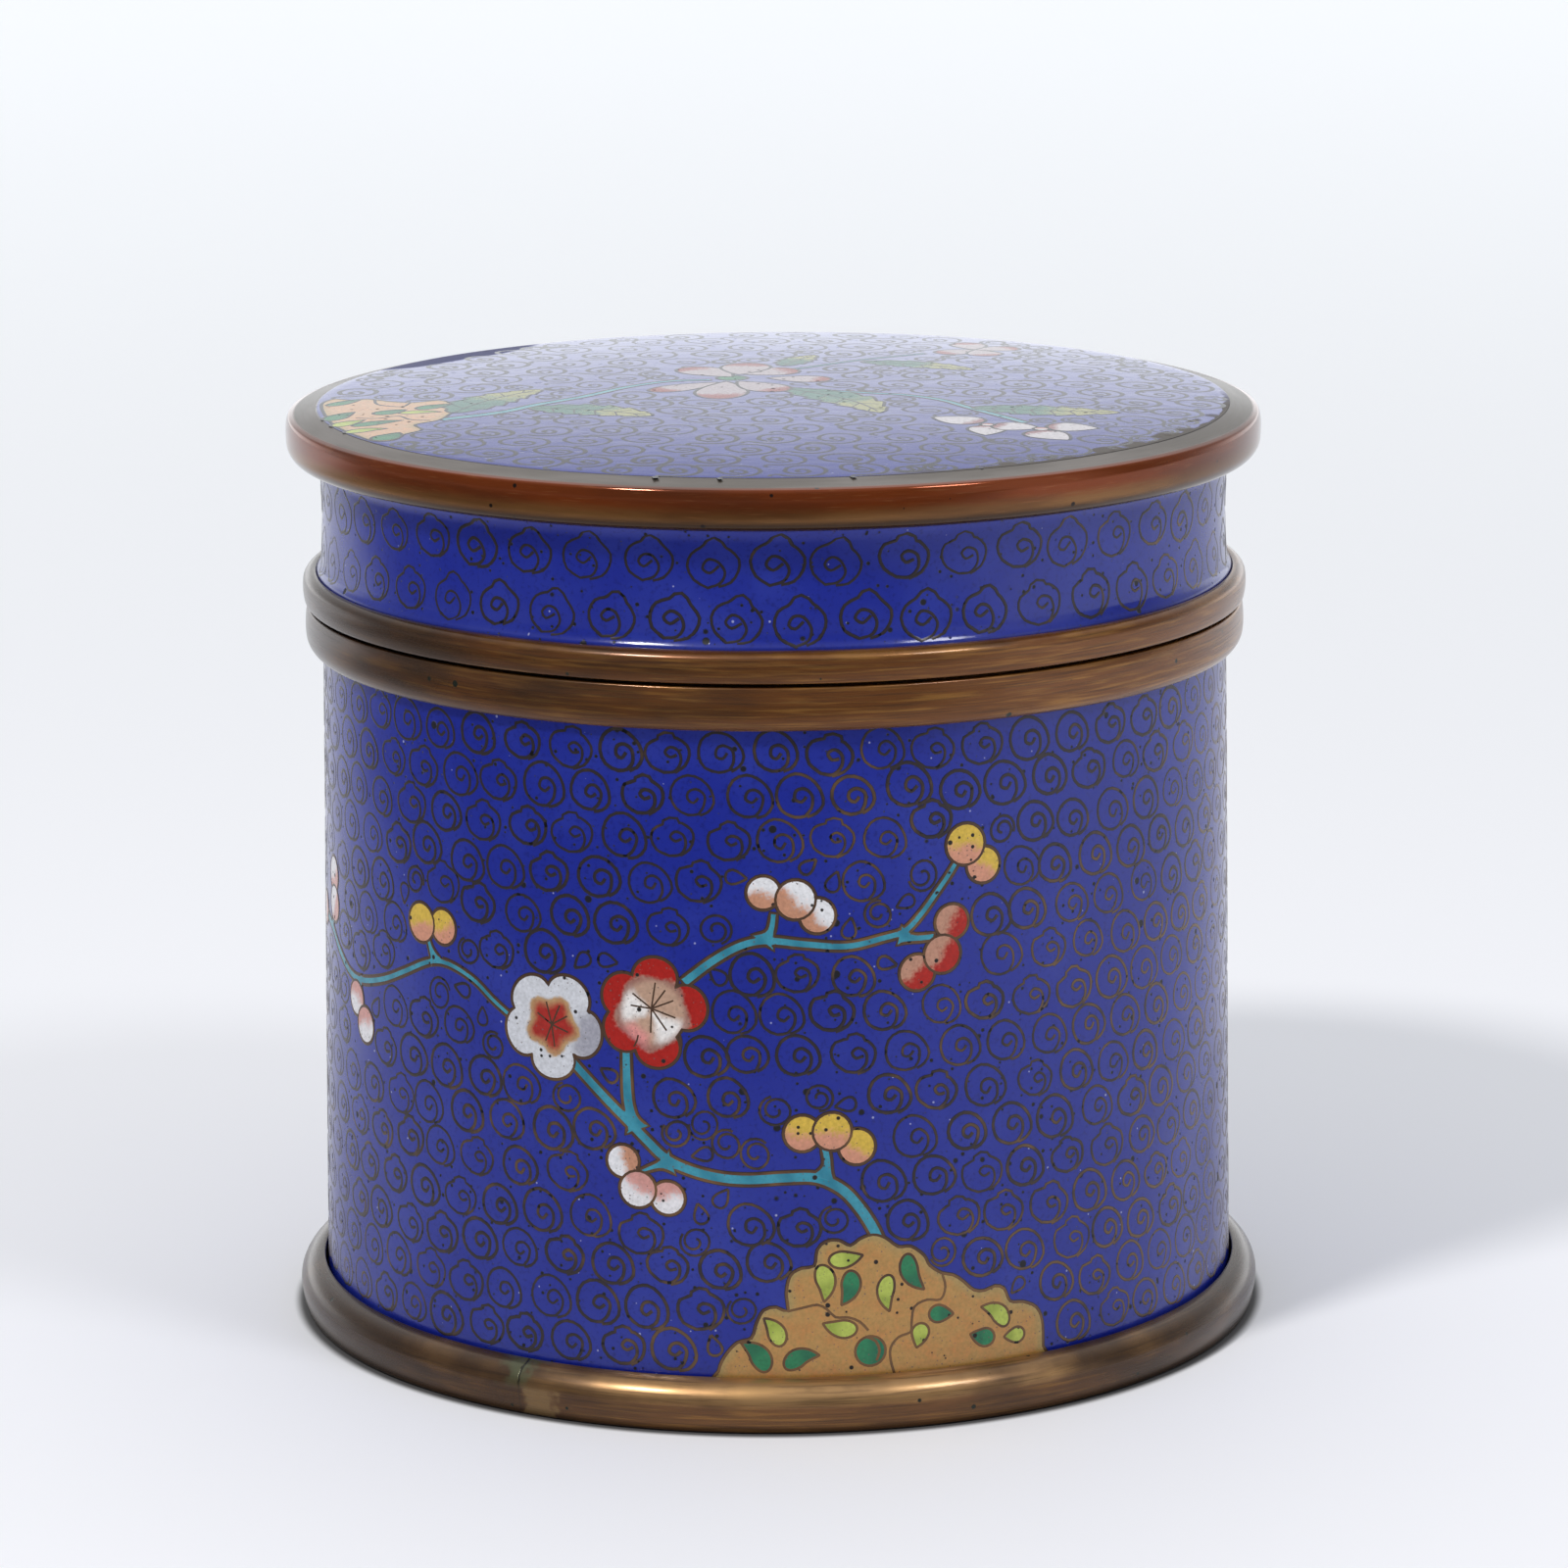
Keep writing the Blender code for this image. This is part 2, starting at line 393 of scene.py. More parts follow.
@dataclass(frozen=True)
class WireBronze(Finish):
    """The wire in the enamel: a dull bronze ridge between dark edges of painted shade, thinner at the
    right, with painted light that makes it brighter at the right.
    """

    ridge: Tint = (106, 82, 60)
    tarnish: Tint = (54, 47, 50)
    # Painted shade: the dark edges stand for the darker enamel beside each wire.
    edge: Tint = (14, 16, 44)
    pitted: Tint = (14, 12, 12)
    width: float = 0.62
    metal: float = 0.35
    gloss: float = 0.27
    shine: float = 0.5

    def dress(self, tree: NodeTree, place: Sock) -> None:
        """Adds the nodes."""
        x, _, height = place.axes()
        across = tree.attribute("across", "Fac")
        middle = 1.0 - (across - 0.5).maths("ABSOLUTE") * 2.0 - x * 2.5
        bare = middle.eased(0.85 - self.width, 1.15 - self.width)
        # Random tarnish and wear, plus painted light that makes the wire lighter towards the right; it also
        # turns darker higher up.
        worn = place.noise(24.0, 2.0) * 0.5 + place.noise(2.5, 3.0, 2.0) * 0.5
        worn = worn + x * 1.8 + height * -1.6 + 0.07
        metal = tree.mix(self.tarnish, self.ridge, worn.eased(0.47, 0.66))
        tree.finish(
            # The dark edge colour is painted shade.
            Base_Color=tree.coats(self.edge, (metal, bare), (self.pitted, place.specks(1.3, 0.3))),
            Metallic=bare * self.metal,
            Roughness=self.gloss,
            Specular_IOR_Level=self.shine)


@dataclass(frozen=True)
class AgedBrass(Finish):
    """Turned brass, browned with age, with brush marks, stains, worn gold flecks and painted shade on its
    flanks.

    Attributes:
        rubbed: how much of it is rubbed bright.
        seam: the angle of a soldered seam from the front, in degrees, or None.
    """

    main: Tint = (112, 66, 25)
    # Real stains, and also the painted shade on the flanks.
    stain_and_shade: Tint = (50, 34, 22)
    gold: Tint = (178, 128, 62)
    # Painted highlight: the pale band along the foot's shoulder.
    bright: Tint = (216, 174, 120)
    # Painted shade along the foot's base, where it meets the floor.
    painted_base_shade: Tint = (34, 25, 18)
    pitted: Tint = (30, 36, 26)
    solder: Tint = (150, 122, 80)
    verdigris: Tint = (92, 104, 76)
    crack: Tint = (24, 20, 14)
    rubbed: float = 0.45
    seam: float | None = None

    def dress(self, tree: NodeTree, place: Sock) -> None:
        """Adds the nodes."""
        x, _, height = place.axes()
        streak = place.turning(0.4, 14.0).noise(4.5, 4.0)
        hair = place.turning(0.5, 34.0).noise(4.0, 4.0, 4.0)
        blotch = place.turning(1.0, 3.0).noise(9.0, 6.0, 7.0)
        brush = place.turning(0.5, 9.0).noise(3.0, 5.0, 12.0)
        # Painted shade: darker towards the left, or towards both sides on the foot, mixed with random
        # stains.
        flank = x * -1.0 if self.seam is None else x.maths("ABSOLUTE")
        stains_and_flank_shade = (blotch * 0.4 + flank * 5.0 + 0.24).eased(0.42, 0.68) * 0.9
        pits = place.specks(2.8, 0.34)
        relief = hair + streak * 0.4 - pits
        bare: Value = 0.0
        rubbed: list[Coat] = []
        seamed: list[Coat] = []
        if self.seam is not None:
            # Painted highlight: a paler, shinier band along the foot's shoulder, where the lamp's highlight
            # falls.
            bare = height.eased(0.0025, 0.0034) * (1.0 - stains_and_flank_shade)
            # The rubbed coats: the painted highlight band, and painted shade along the foot's lowest
            # millimetre.
            rubbed = [(self.bright, bare * 0.5), (self.painted_base_shade, height.eased(0.0012, 0.0002) * 0.3)]
            seamed = self.soldered(place)
            relief = relief - seamed[-1][1] * 3.0
        tree.finish(
            Base_Color=tree.coats(
                self.main, (self.gold, (streak * 0.5 + brush * 0.5).eased(0.47, 0.63) * self.rubbed),
                # Random stains, and painted shade on the flanks.
                *rubbed, (self.stain_and_shade, stains_and_flank_shade), (self.stain_and_shade, hair.eased(0.47, 0.66) * 0.5),
                (self.pitted, pits), *seamed),
            Metallic=streak * 0.3 + 0.35 + bare * 0.25,
            Roughness=hair * 0.16 + blotch * 0.12 + 0.12 + bare * 0.09,
            Coat_Weight=0.3,
            Coat_Roughness=0.12,
            Normal=tree.bump(relief, 0.3, 0.03))

    def soldered(self, place: Sock) -> list[Coat]:
        """Draws the soldered seam and the green bloom beside it.

        Args:
            place: the object coordinates, in metres.

        Returns:
            The coats of solder and verdigris, and last the seam's groove.
        """
        x, y, height = place.axes()
        sine, cosine = math.sin(math.radians(self.seam)), math.cos(math.radians(self.seam))
        front = (x * sine - y * cosine).eased(0.0, 0.002)
        wander = (place.noise(1.5, 3.0, 9.0) - 0.5) * 0.0016
        side = x * cosine + y * sine

        def stripe(middle: float, width: float, edge: float, loose: float) -> Sock:
            """Gives 1 within a stripe beside the seam and 0 outside it, with sizes in metres."""
            away = (side + wander * loose - middle).maths("ABSOLUTE")
            return away.eased(width + edge, width) * front

        upper = height.eased(0.0024, 0.0038)
        patch = stripe(0.0024, 0.0014, 0.0009, 3.0) * height.eased(0.0034, 0.0026)
        return [(self.solder, patch * 0.5),
                (self.verdigris, stripe(-0.0004, 0.0006, 0.002, 4.0) * upper * 0.55),
                (self.crack, stripe(0.0, 0.00006, 0.00014, 1.0) * (upper * 0.6 + 0.25))]


@dataclass(frozen=True)
class PolishedCopper(Finish):
    """The copper moulding: a dark red polished face, a grey, dulled border on top, a paler lower part of
    painted floor reflection, streaks of painted glint and a dark bottom line of painted shade.

    Attributes:
        face_level: the height where the red face starts, in metres.
        border_level: the height where the border starts, in metres.
    """

    face: Tint = (120, 52, 9)
    # Painted reflection: the paler tan of the lower part stands for the bright floor mirrored in it.
    lower: Tint = (130, 90, 50)
    # Painted shade: the dark line along the bottom edge, where the ring meets the band.
    edge: Tint = (52, 34, 18)
    brown: Tint = (70, 34, 14)
    # Painted glints along the polish streaks.
    bright: Tint = (176, 124, 80)
    pitted: Tint = (30, 18, 12)
    border: Tint = (128, 120, 114)
    dulled: Tint = (104, 96, 88)
    face_level: float = 0.0909
    border_level: float = 0.093

    def dress(self, tree: NodeTree, place: Sock) -> None:
        """Adds the nodes."""
        height = place.axes()[2]
        streak = place.turning(1.0, 22.0).noise(3.0, 3.0)
        blotch = place.turning(0.4, 2.5).noise(7.0, 4.0, 2.0)
        red = (height + streak * 0.001).eased(self.face_level - 0.0003, self.face_level + 0.0011)
        top = height.eased(self.border_level - 0.00006, self.border_level + 0.00003)
        pits = place.specks(2.2, 0.26) * (1.0 - top * 0.8)
        tree.finish(
            Base_Color=tree.coats(
                # Below the red face the base colour is painted floor reflection.
                self.lower, (self.face, red), (self.brown, blotch.eased(0.42, 0.7) * 0.55),
                # Painted glints.
                (self.bright, streak.eased(0.56, 0.78) * 0.25),
                # Painted shade along the bottom edge.
                (self.edge, (height + streak * 0.0004).eased(0.0903, 0.0896) * 0.9), (self.pitted, pits),
                (tree.mix(self.border, self.dulled, blotch.eased(0.4, 0.65)), top)),
            Metallic=top * 0.15 + 0.55,
            Roughness=streak * 0.08 + 0.07 + top * 0.3,
            Specular_IOR_Level=0.3,
            Coat_Weight=0.3,
            Coat_Roughness=0.08,
            Normal=tree.bump(streak + blotch * 0.5 - pits, 0.12, 0.03))


@dataclass(frozen=True)
class StudioFloor(Finish):
    """The pale seamless floor, with painted light that brightens it further from the jar, a painted contact
    shadow round the foot and a painted glow in the distance. In gloss it is painted darker at the front and
    left, as a reflection of the dark room.
    """

    near: Tint = (242, 242, 246)
    far: Tint = (251, 252, 255)
    contact_shadow: Tint = (40, 37, 36)
    # Painted dark reflection, seen only in gloss.
    dim: Tint = (72, 70, 68)
    glow: Tint = (138, 140, 142)

    def dress(self, tree: NodeTree, place: Sock) -> None:
        """Adds the nodes."""
        x, y, _ = place.axes()
        away = place.radius()
        left = x.eased(-0.16, -0.36) * y.eased(0.38, 0.1) * 0.75
        front = (y + x * 0.6).eased(0.1, -0.36)
        dark = 1.0 - (1.0 - front) * (1.0 - left)
        tree.finish(
            Base_Color=tree.coats(
                # Painted light: the floor gets brighter further from the jar.
                self.near, (self.far, away.eased(0.08, 0.9)),
                # Painted contact shadow round the foot.
                (self.contact_shadow, away.eased(0.0506, 0.0494) * 0.9),
                # Painted reflection: darker in gloss at the front and left.
                (self.dim, tree.node("ShaderNodeLightPath", out="Is Glossy Ray") * dark)),
            Roughness=0.7,
            Specular_IOR_Level=0.2,
            Emission_Color=tree.mix((0, 0, 0), self.glow, away.eased(0.2, 1.5)),
            Emission_Strength=1.0)


# Outlines and surfaces


def search_tree(points: Sequence[Point]) -> KDTree:
    """Gives flat points in a tree for a quick search."""
    tree = KDTree(len(points))
    for index, (x, y) in enumerate(points):
        tree.insert((x, y, 0.0), index)
    tree.balance()
    return tree


def ring(centre: Point, radii: Point, steps: int) -> list[Point]:
    """Gives the points of an ellipse, once round."""
    turns = [math.radians(360 * step / steps) for step in range(steps)]
    return [(centre[0] + radii[0] * math.cos(t), centre[1] + radii[1] * math.sin(t)) for t in turns]


def spline(points: Sequence[Point], spacing: float, closed: bool = False) -> list[Point]:
    """Runs a smooth curve through points.

    Args:
        points: the points that it passes.
        spacing: how far apart the result's points are, about.
        closed: whether it returns to its start.

    Returns:
        The curve's points. A closed curve doesn't repeat its first point.
    """
    knots = [np.array(p, float) for p in points]
    if closed:
        knots = [knots[-1], *knots, knots[0], knots[1]]
    else:
        knots = [2 * knots[0] - knots[1], *knots, 2 * knots[-1] - knots[-2]]
    made: list[Point] = []
    for before, start, end, after in zip(knots, knots[1:], knots[2:], knots[3:]):
        steps = max(1, round(float(np.linalg.norm(end - start)) / spacing))
        for step in range(steps):
            t = step / steps
            made.append(tuple(0.5 * (
                2 * start + (end - before) * t
                + (2 * before - 5 * start + 4 * end - after) * t * t
                + (3 * start - before - 3 * end + after) * t ** 3)))
    return made if closed else [*made, tuple(knots[-2])]


def ribbon(line: Sequence[Point], widths: Sequence[float]) -> list[Point]:
    """Widens a line into a closed outline.

    Args:
        line: the middle line.
        widths: the half width at each of its points.

    Returns:
        The outline, anticlockwise.
    """
    middle = np.array(line, float)
    along = np.gradient(middle, axis=0)
    along /= np.maximum(np.linalg.norm(along, axis=1, keepdims=True), 1e-9)
    side = np.stack([along[:, 1], -along[:, 0]], 1) * np.array(widths)[:, None]
    return [tuple(p) for p in (*(middle + side), *(middle - side)[::-1])]


def node_outline(node: bpy.types.Object) -> list[Point]:
    """Reads the outline of a turned node from its points on one half plane through the axis.

    Args:
        node: a node of the frame.

    Returns:
        The (radius, height) points in order, in mm. A shell's outline starts and ends on the axis.
    """
    spot = {}
    for vertex in node.data.vertices:
        if abs(vertex.co.y) < 1e-7 and vertex.co.x > -1e-7:
            spot[vertex.index] = (round(vertex.co.x / MM, 4), round(vertex.co.z / MM, 4))
    joined: dict[Point, set[Point]] = {}
    for edge in node.data.edges:
        ends = [spot.get(index) for index in edge.vertices]
        if None not in ends and ends[0] != ends[1]:
            joined.setdefault(ends[0], set()).add(ends[1])
            joined.setdefault(ends[1], set()).add(ends[0])
    starts = sorted(p for p, near in joined.items() if len(near) == 1)
    here = starts[0] if starts else min(joined)
    order = [here]
    while True:
        ahead = sorted(p for p in joined[here] if p not in order)
        if not ahead:
            break
        here = ahead[0]
        order.append(here)
    if not starts:
        return order
    ends = [[(0.0, height)] * (radius > 0) for radius, height in (order[0], order[-1])]
    return [*ends[0], *order, *ends[1]]


def eased_outline(outline: Sequence[Point], ease: float, spacing: float) -> np.ndarray:
    """Rounds an outline's corners and adds points along its long stretches.

    Args:
        outline: (radius, height) points. It is closed unless both ends are on the axis.
        ease: the reach of the rounding at a sharp corner, in mm.
        spacing: the longest stretch without a point, in mm.

    Returns:
        The finer outline.
    """
    sharp, straight = math.radians(50), math.radians(2)
    knots = [np.array(p, float) for p in outline]
    on_axis = outline[0][0] == 0.0 and outline[-1][0] == 0.0
    made: list[np.ndarray] = []
    for index, corner in enumerate(knots):
        before, after = knots[index - 1], knots[(index + 1) % len(knots)]
        into, out = corner - before, after - corner
        turn = abs(math.atan2(into[0] * out[1] - into[1] * out[0], into @ out))
        if (on_axis and index in (0, len(knots) - 1)) or turn < straight:
            made.append(corner)
            continue
        lengths = np.linalg.norm(into), np.linalg.norm(out)
        reach = [0.5 * n if turn < sharp else min(ease, 0.5 * n) for n in lengths]
        first, last = corner - into / lengths[0] * reach[0], corner + out / lengths[1] * reach[1]
        for t in np.linspace(0, 1, 5 if turn < sharp else 6):
            made.append((1 - t) ** 2 * first + 2 * t * (1 - t) * corner + t * t * last)
    dense: list[np.ndarray] = []
    for start, end in zip(made, made[1:] if on_axis else [*made[1:], made[0]]):
        length = float(np.linalg.norm(end - start))
        steps = math.ceil(length / spacing) if length > 1e-4 else 0
        dense += [start + (end - start) * step / steps for step in range(steps)]
    return np.array([*dense, made[-1]] if on_axis else dense)


def ripple(angle: np.ndarray, height: np.ndarray) -> np.ndarray:
    """Gives the slight unevenness of a hand-ground enamel wall, in mm.

    Args:
        angle: the angles round the jar, in radians.
        height: the heights, in mm.

    Returns:
        How far the surface stands out or in.
    """
    slow = np.sin(3 * angle + 0.05 * height + 0.8) + 0.7 * np.sin(5 * angle - 0.11 * height)
    quick = np.sin(11 * angle + 0.21 * height + 2.0) * np.sin(0.17 * height + 4 * angle)
    return 0.018 * slow + 0.014 * quick


class Surface(Protocol):
    """A surface that flat drawings are wrapped on."""

    def place(self, flat: np.ndarray) -> np.ndarray:
        """Wraps flat points with a height above the enamel, in mm, to places in metres."""


@dataclass(frozen=True)
class WallSurface:
    """A turned wall, by its radii at rising heights, and the girth's radius for arc lengths, in mm."""

    heights: np.ndarray
    radii: np.ndarray
    girth: float

    def place(self, flat: np.ndarray) -> np.ndarray:
        """Wraps flat points with a height above the enamel, in mm, to places in metres."""
        angle, height = flat[:, 0] / self.girth, flat[:, 1]
        radius = np.interp(height, self.heights, self.radii) + ripple(angle, height) + flat[:, 2]
        return np.stack([radius * np.sin(angle), -radius * np.cos(angle), height], 1) * MM


@dataclass(frozen=True)
class DomeSurface:
    """The lid's low dome, nearly flat in the middle, in mm. Its power says how late it falls."""

    rim: float
    edge: float
    rise: float
    power: float = 3.0

    def height_at(self, radius: np.ndarray) -> np.ndarray:
        """Gives the dome's height at radii, in mm."""
        return self.edge + self.rise * (1 - np.minimum(radius / self.rim, 1.0) ** self.power)

    def place(self, flat: np.ndarray) -> np.ndarray:
        """Wraps flat points with a height above the enamel, in mm, to places in metres."""
        height = self.height_at(np.hypot(flat[:, 0], flat[:, 1])) + flat[:, 2]
        return np.stack([flat[:, 0], flat[:, 1], height], 1) * MM


def turn_outline(name: str, outline: np.ndarray, wavy: np.ndarray | None = None,
                 zones: np.ndarray | None = None) -> Mesh:
    """Turns an outline round the axis into a fine closed mesh, with its normals outwards.

    Args:
        name: the mesh's name.
        outline: (radius, height) points, in mm, closed unless both ends are on the axis.
        wavy: 1 at the points that follow the enamel's ripple, and 0 elsewhere.
        zones: the material index of the stretch after each point.

    Returns:
        The mesh.
    """
    count = len(outline)
    angles = np.arange(FACETS)[:, None] * math.tau / FACETS
    radius, height = (np.tile(column, (FACETS, 1)) for column in outline.T)
    if wavy is not None:
        radius = radius + ripple(angles, height) * wavy
    turned = np.stack([radius * np.sin(angles), -radius * np.cos(angles), height], 2)
    on_axis = outline[0, 0] == 0.0 and outline[-1, 0] == 0.0
    start = np.arange(count - on_axis)
    end = (start + 1) % count
    here = np.arange(FACETS)[:, None] * count
    there = np.roll(here, -1, 0)
    faces = np.stack([here + start, there + start, there + end, here + end], 2).reshape(-1, 4)
    mesh = bpy.data.meshes.new(name)
    mesh.from_pydata((turned.reshape(-1, 3) * MM).tolist(), [], faces.tolist())
    if zones is not None:
        mesh.polygons.foreach_set("material_index", np.tile(zones[start], FACETS))
    drawing = bmesh.new()
    drawing.from_mesh(mesh)
    bmesh.ops.remove_doubles(drawing, verts=drawing.verts, dist=1e-7)
    bmesh.ops.recalc_face_normals(drawing, faces=drawing.faces)
    drawing.to_mesh(mesh)
    drawing.free()
    mesh.shade_smooth()
    return mesh


# Wires


class ScrollKind(Enum):
    """The shapes of the small wires that fill the ground.

    Each value is the half width of the shape, in mm.
    """

    CLOUD = 2.2
    COIL = 1.55
    DROP = 1.12


class ScrollShape(Enum):
    """The cloud scrolls, each one wire from its hook to its outer end.

    The points are shares of the half width, with the middle at (0, 0).
    """

    ROUND = ((0.3, -0.07), (0.06, -0.3), (-0.21, -0.15), (-0.13, 0.19), (0.2, 0.3), (0.55, 0.02),
             (0.53, -0.5), (0.26, -0.84), (-0.2, -0.88), (-0.78, -0.58), (-0.98, 0.04), (-0.76, 0.64),
             (-0.18, 0.93), (0.46, 0.72), (0.9, 0.2), (1.0, -0.36), (0.72, -0.75), (0.34, -0.9))
    LOBED = ((0.42, -0.12), (0.1, -0.24), (-0.09, 0.0), (0.14, 0.23), (0.52, 0.06), (0.6, -0.42),
             (0.3, -0.82), (-0.24, -0.87), (-0.78, -0.56), (-1.0, -0.02), (-0.86, 0.42), (-0.5, 0.58),
             (-0.38, 0.6), (-0.32, 0.78), (0.0, 0.9), (0.34, 0.82), (0.43, 0.64), (0.56, 0.6),
             (0.93, 0.28), (1.0, -0.14), (0.78, -0.62), (0.28, -0.9))
    CROWNED = ((0.16, -0.1), (-0.2, -0.33), (-0.44, -0.14), (-0.2, 0.15), (0.18, 0.05), (0.4, -0.38),
               (0.2, -0.79), (-0.3, -0.91), (-0.82, -0.58), (-1.0, -0.04), (-0.8, 0.4), (-0.42, 0.6),
               (-0.3, 0.66), (-0.1, 0.86), (0.16, 0.92), (0.42, 0.76), (0.56, 0.52), (0.72, 0.42),
               (0.98, 0.06), (0.94, -0.4), (0.6, -0.8), (0.1, -0.93))
    TAILED = ((0.3, -0.05), (0.1, -0.22), (-0.2, -0.14), (-0.22, 0.12), (0.12, 0.26), (0.5, 0.08),
              (0.5, -0.34), (0.12, -0.62), (-0.5, -0.56), (-0.96, -0.12), (-0.82, 0.5), (-0.2, 0.86),
              (0.56, 0.72), (1.0, 0.16), (0.92, -0.5), (0.7, -0.86), (0.78, -1.1), (1.06, -1.16))

    def path(self, chance: random.Random) -> list[Point]:
        """Gives the wire's points, with small differences.

        Args:
            chance: the source of the differences.

        Returns:
            The points from the hook to the outer end.
        """
        wide, tall = chance.uniform(0.96, 1.02), chance.uniform(0.96, 1.04)
        shift = (chance.uniform(-0.06, 0.06), chance.uniform(-0.05, 0.05))
        loose = 0.022
        points = []
        for index, (x, y) in enumerate(self.value):
            inner = max(0.0, 1 - index / 6)
            points.append((
                (x + shift[0] * inner + chance.uniform(-loose, loose)) * wide,
                (y + shift[1] * inner + chance.uniform(-loose, loose)) * tall))
        return [*spline(points[:8], 0.13), *spline(points[7:], 0.26)[1:]]


def coil_path() -> list[Point]:
    """Gives a small round coil that fills a gap."""
    steps = 30
    made = []
    for step in range(steps + 1):
        share = step / steps
        reach = 0.22 + 0.78 * min(1.0, share * 1.6)
        turn = math.radians(30 - 640 * share)
        made.append((reach * math.cos(turn), reach * math.sin(turn) * 0.95))
    return made


def drop_path() -> list[Point]:
    """Gives a teardrop loop that fills a small gap, with its point to the left."""
    steps = 16
    turns = [math.tau * step / steps for step in range(steps + 1)]
    return [(-math.cos(t), 0.92 * math.sin(t) * math.sin(t / 2) ** 1.3) for t in turns]


@dataclass
class ScrollSet:
    """The scroll shapes to pick from, as meshes of edges: the clouds first, then a coil and a drop."""

    seed: int
    mix: tuple[ScrollShape, ...]

    def __post_init__(self) -> None:
        """Makes the shapes, in a collection that is ordered by their names."""
        chance = random.Random(self.seed)
        self.collection = bpy.data.collections.new("scroll_shapes")
        paths = [(shape.path(chance), ScrollKind.CLOUD) for shape in self.mix]
        paths += [(coil_path(), ScrollKind.COIL), (drop_path(), ScrollKind.DROP)]
        for index, (path, kind) in enumerate(paths):
            name = f"scroll_{index:02d}"
            mesh = path_mesh(name, np.array(path) * kind.value, chain(0, len(path)))
            self.collection.objects.link(bpy.data.objects.new(name, mesh))

    def clear(self) -> None:
        """Removes the shapes."""
        for shape in list(self.collection.objects):
            bpy.data.objects.remove(shape, do_unlink=True)
        bpy.data.collections.remove(self.collection)

    def pick(self, kind: ScrollKind, chance: random.Random | None = None) -> int:
        """Gives the index of a shape of a kind. A cloud is picked by chance."""
        if kind is ScrollKind.CLOUD:
            return chance.randrange(len(self.mix))
        return len(self.mix) + (kind is ScrollKind.DROP)


@dataclass(frozen=True)
class Scroll:
    """One scroll of the ground: its turn is in degrees, and its weight scales the wire's width."""

    place: Point
    kind: ScrollKind
    turn: float
    size: float
    shape: int
    weight: float


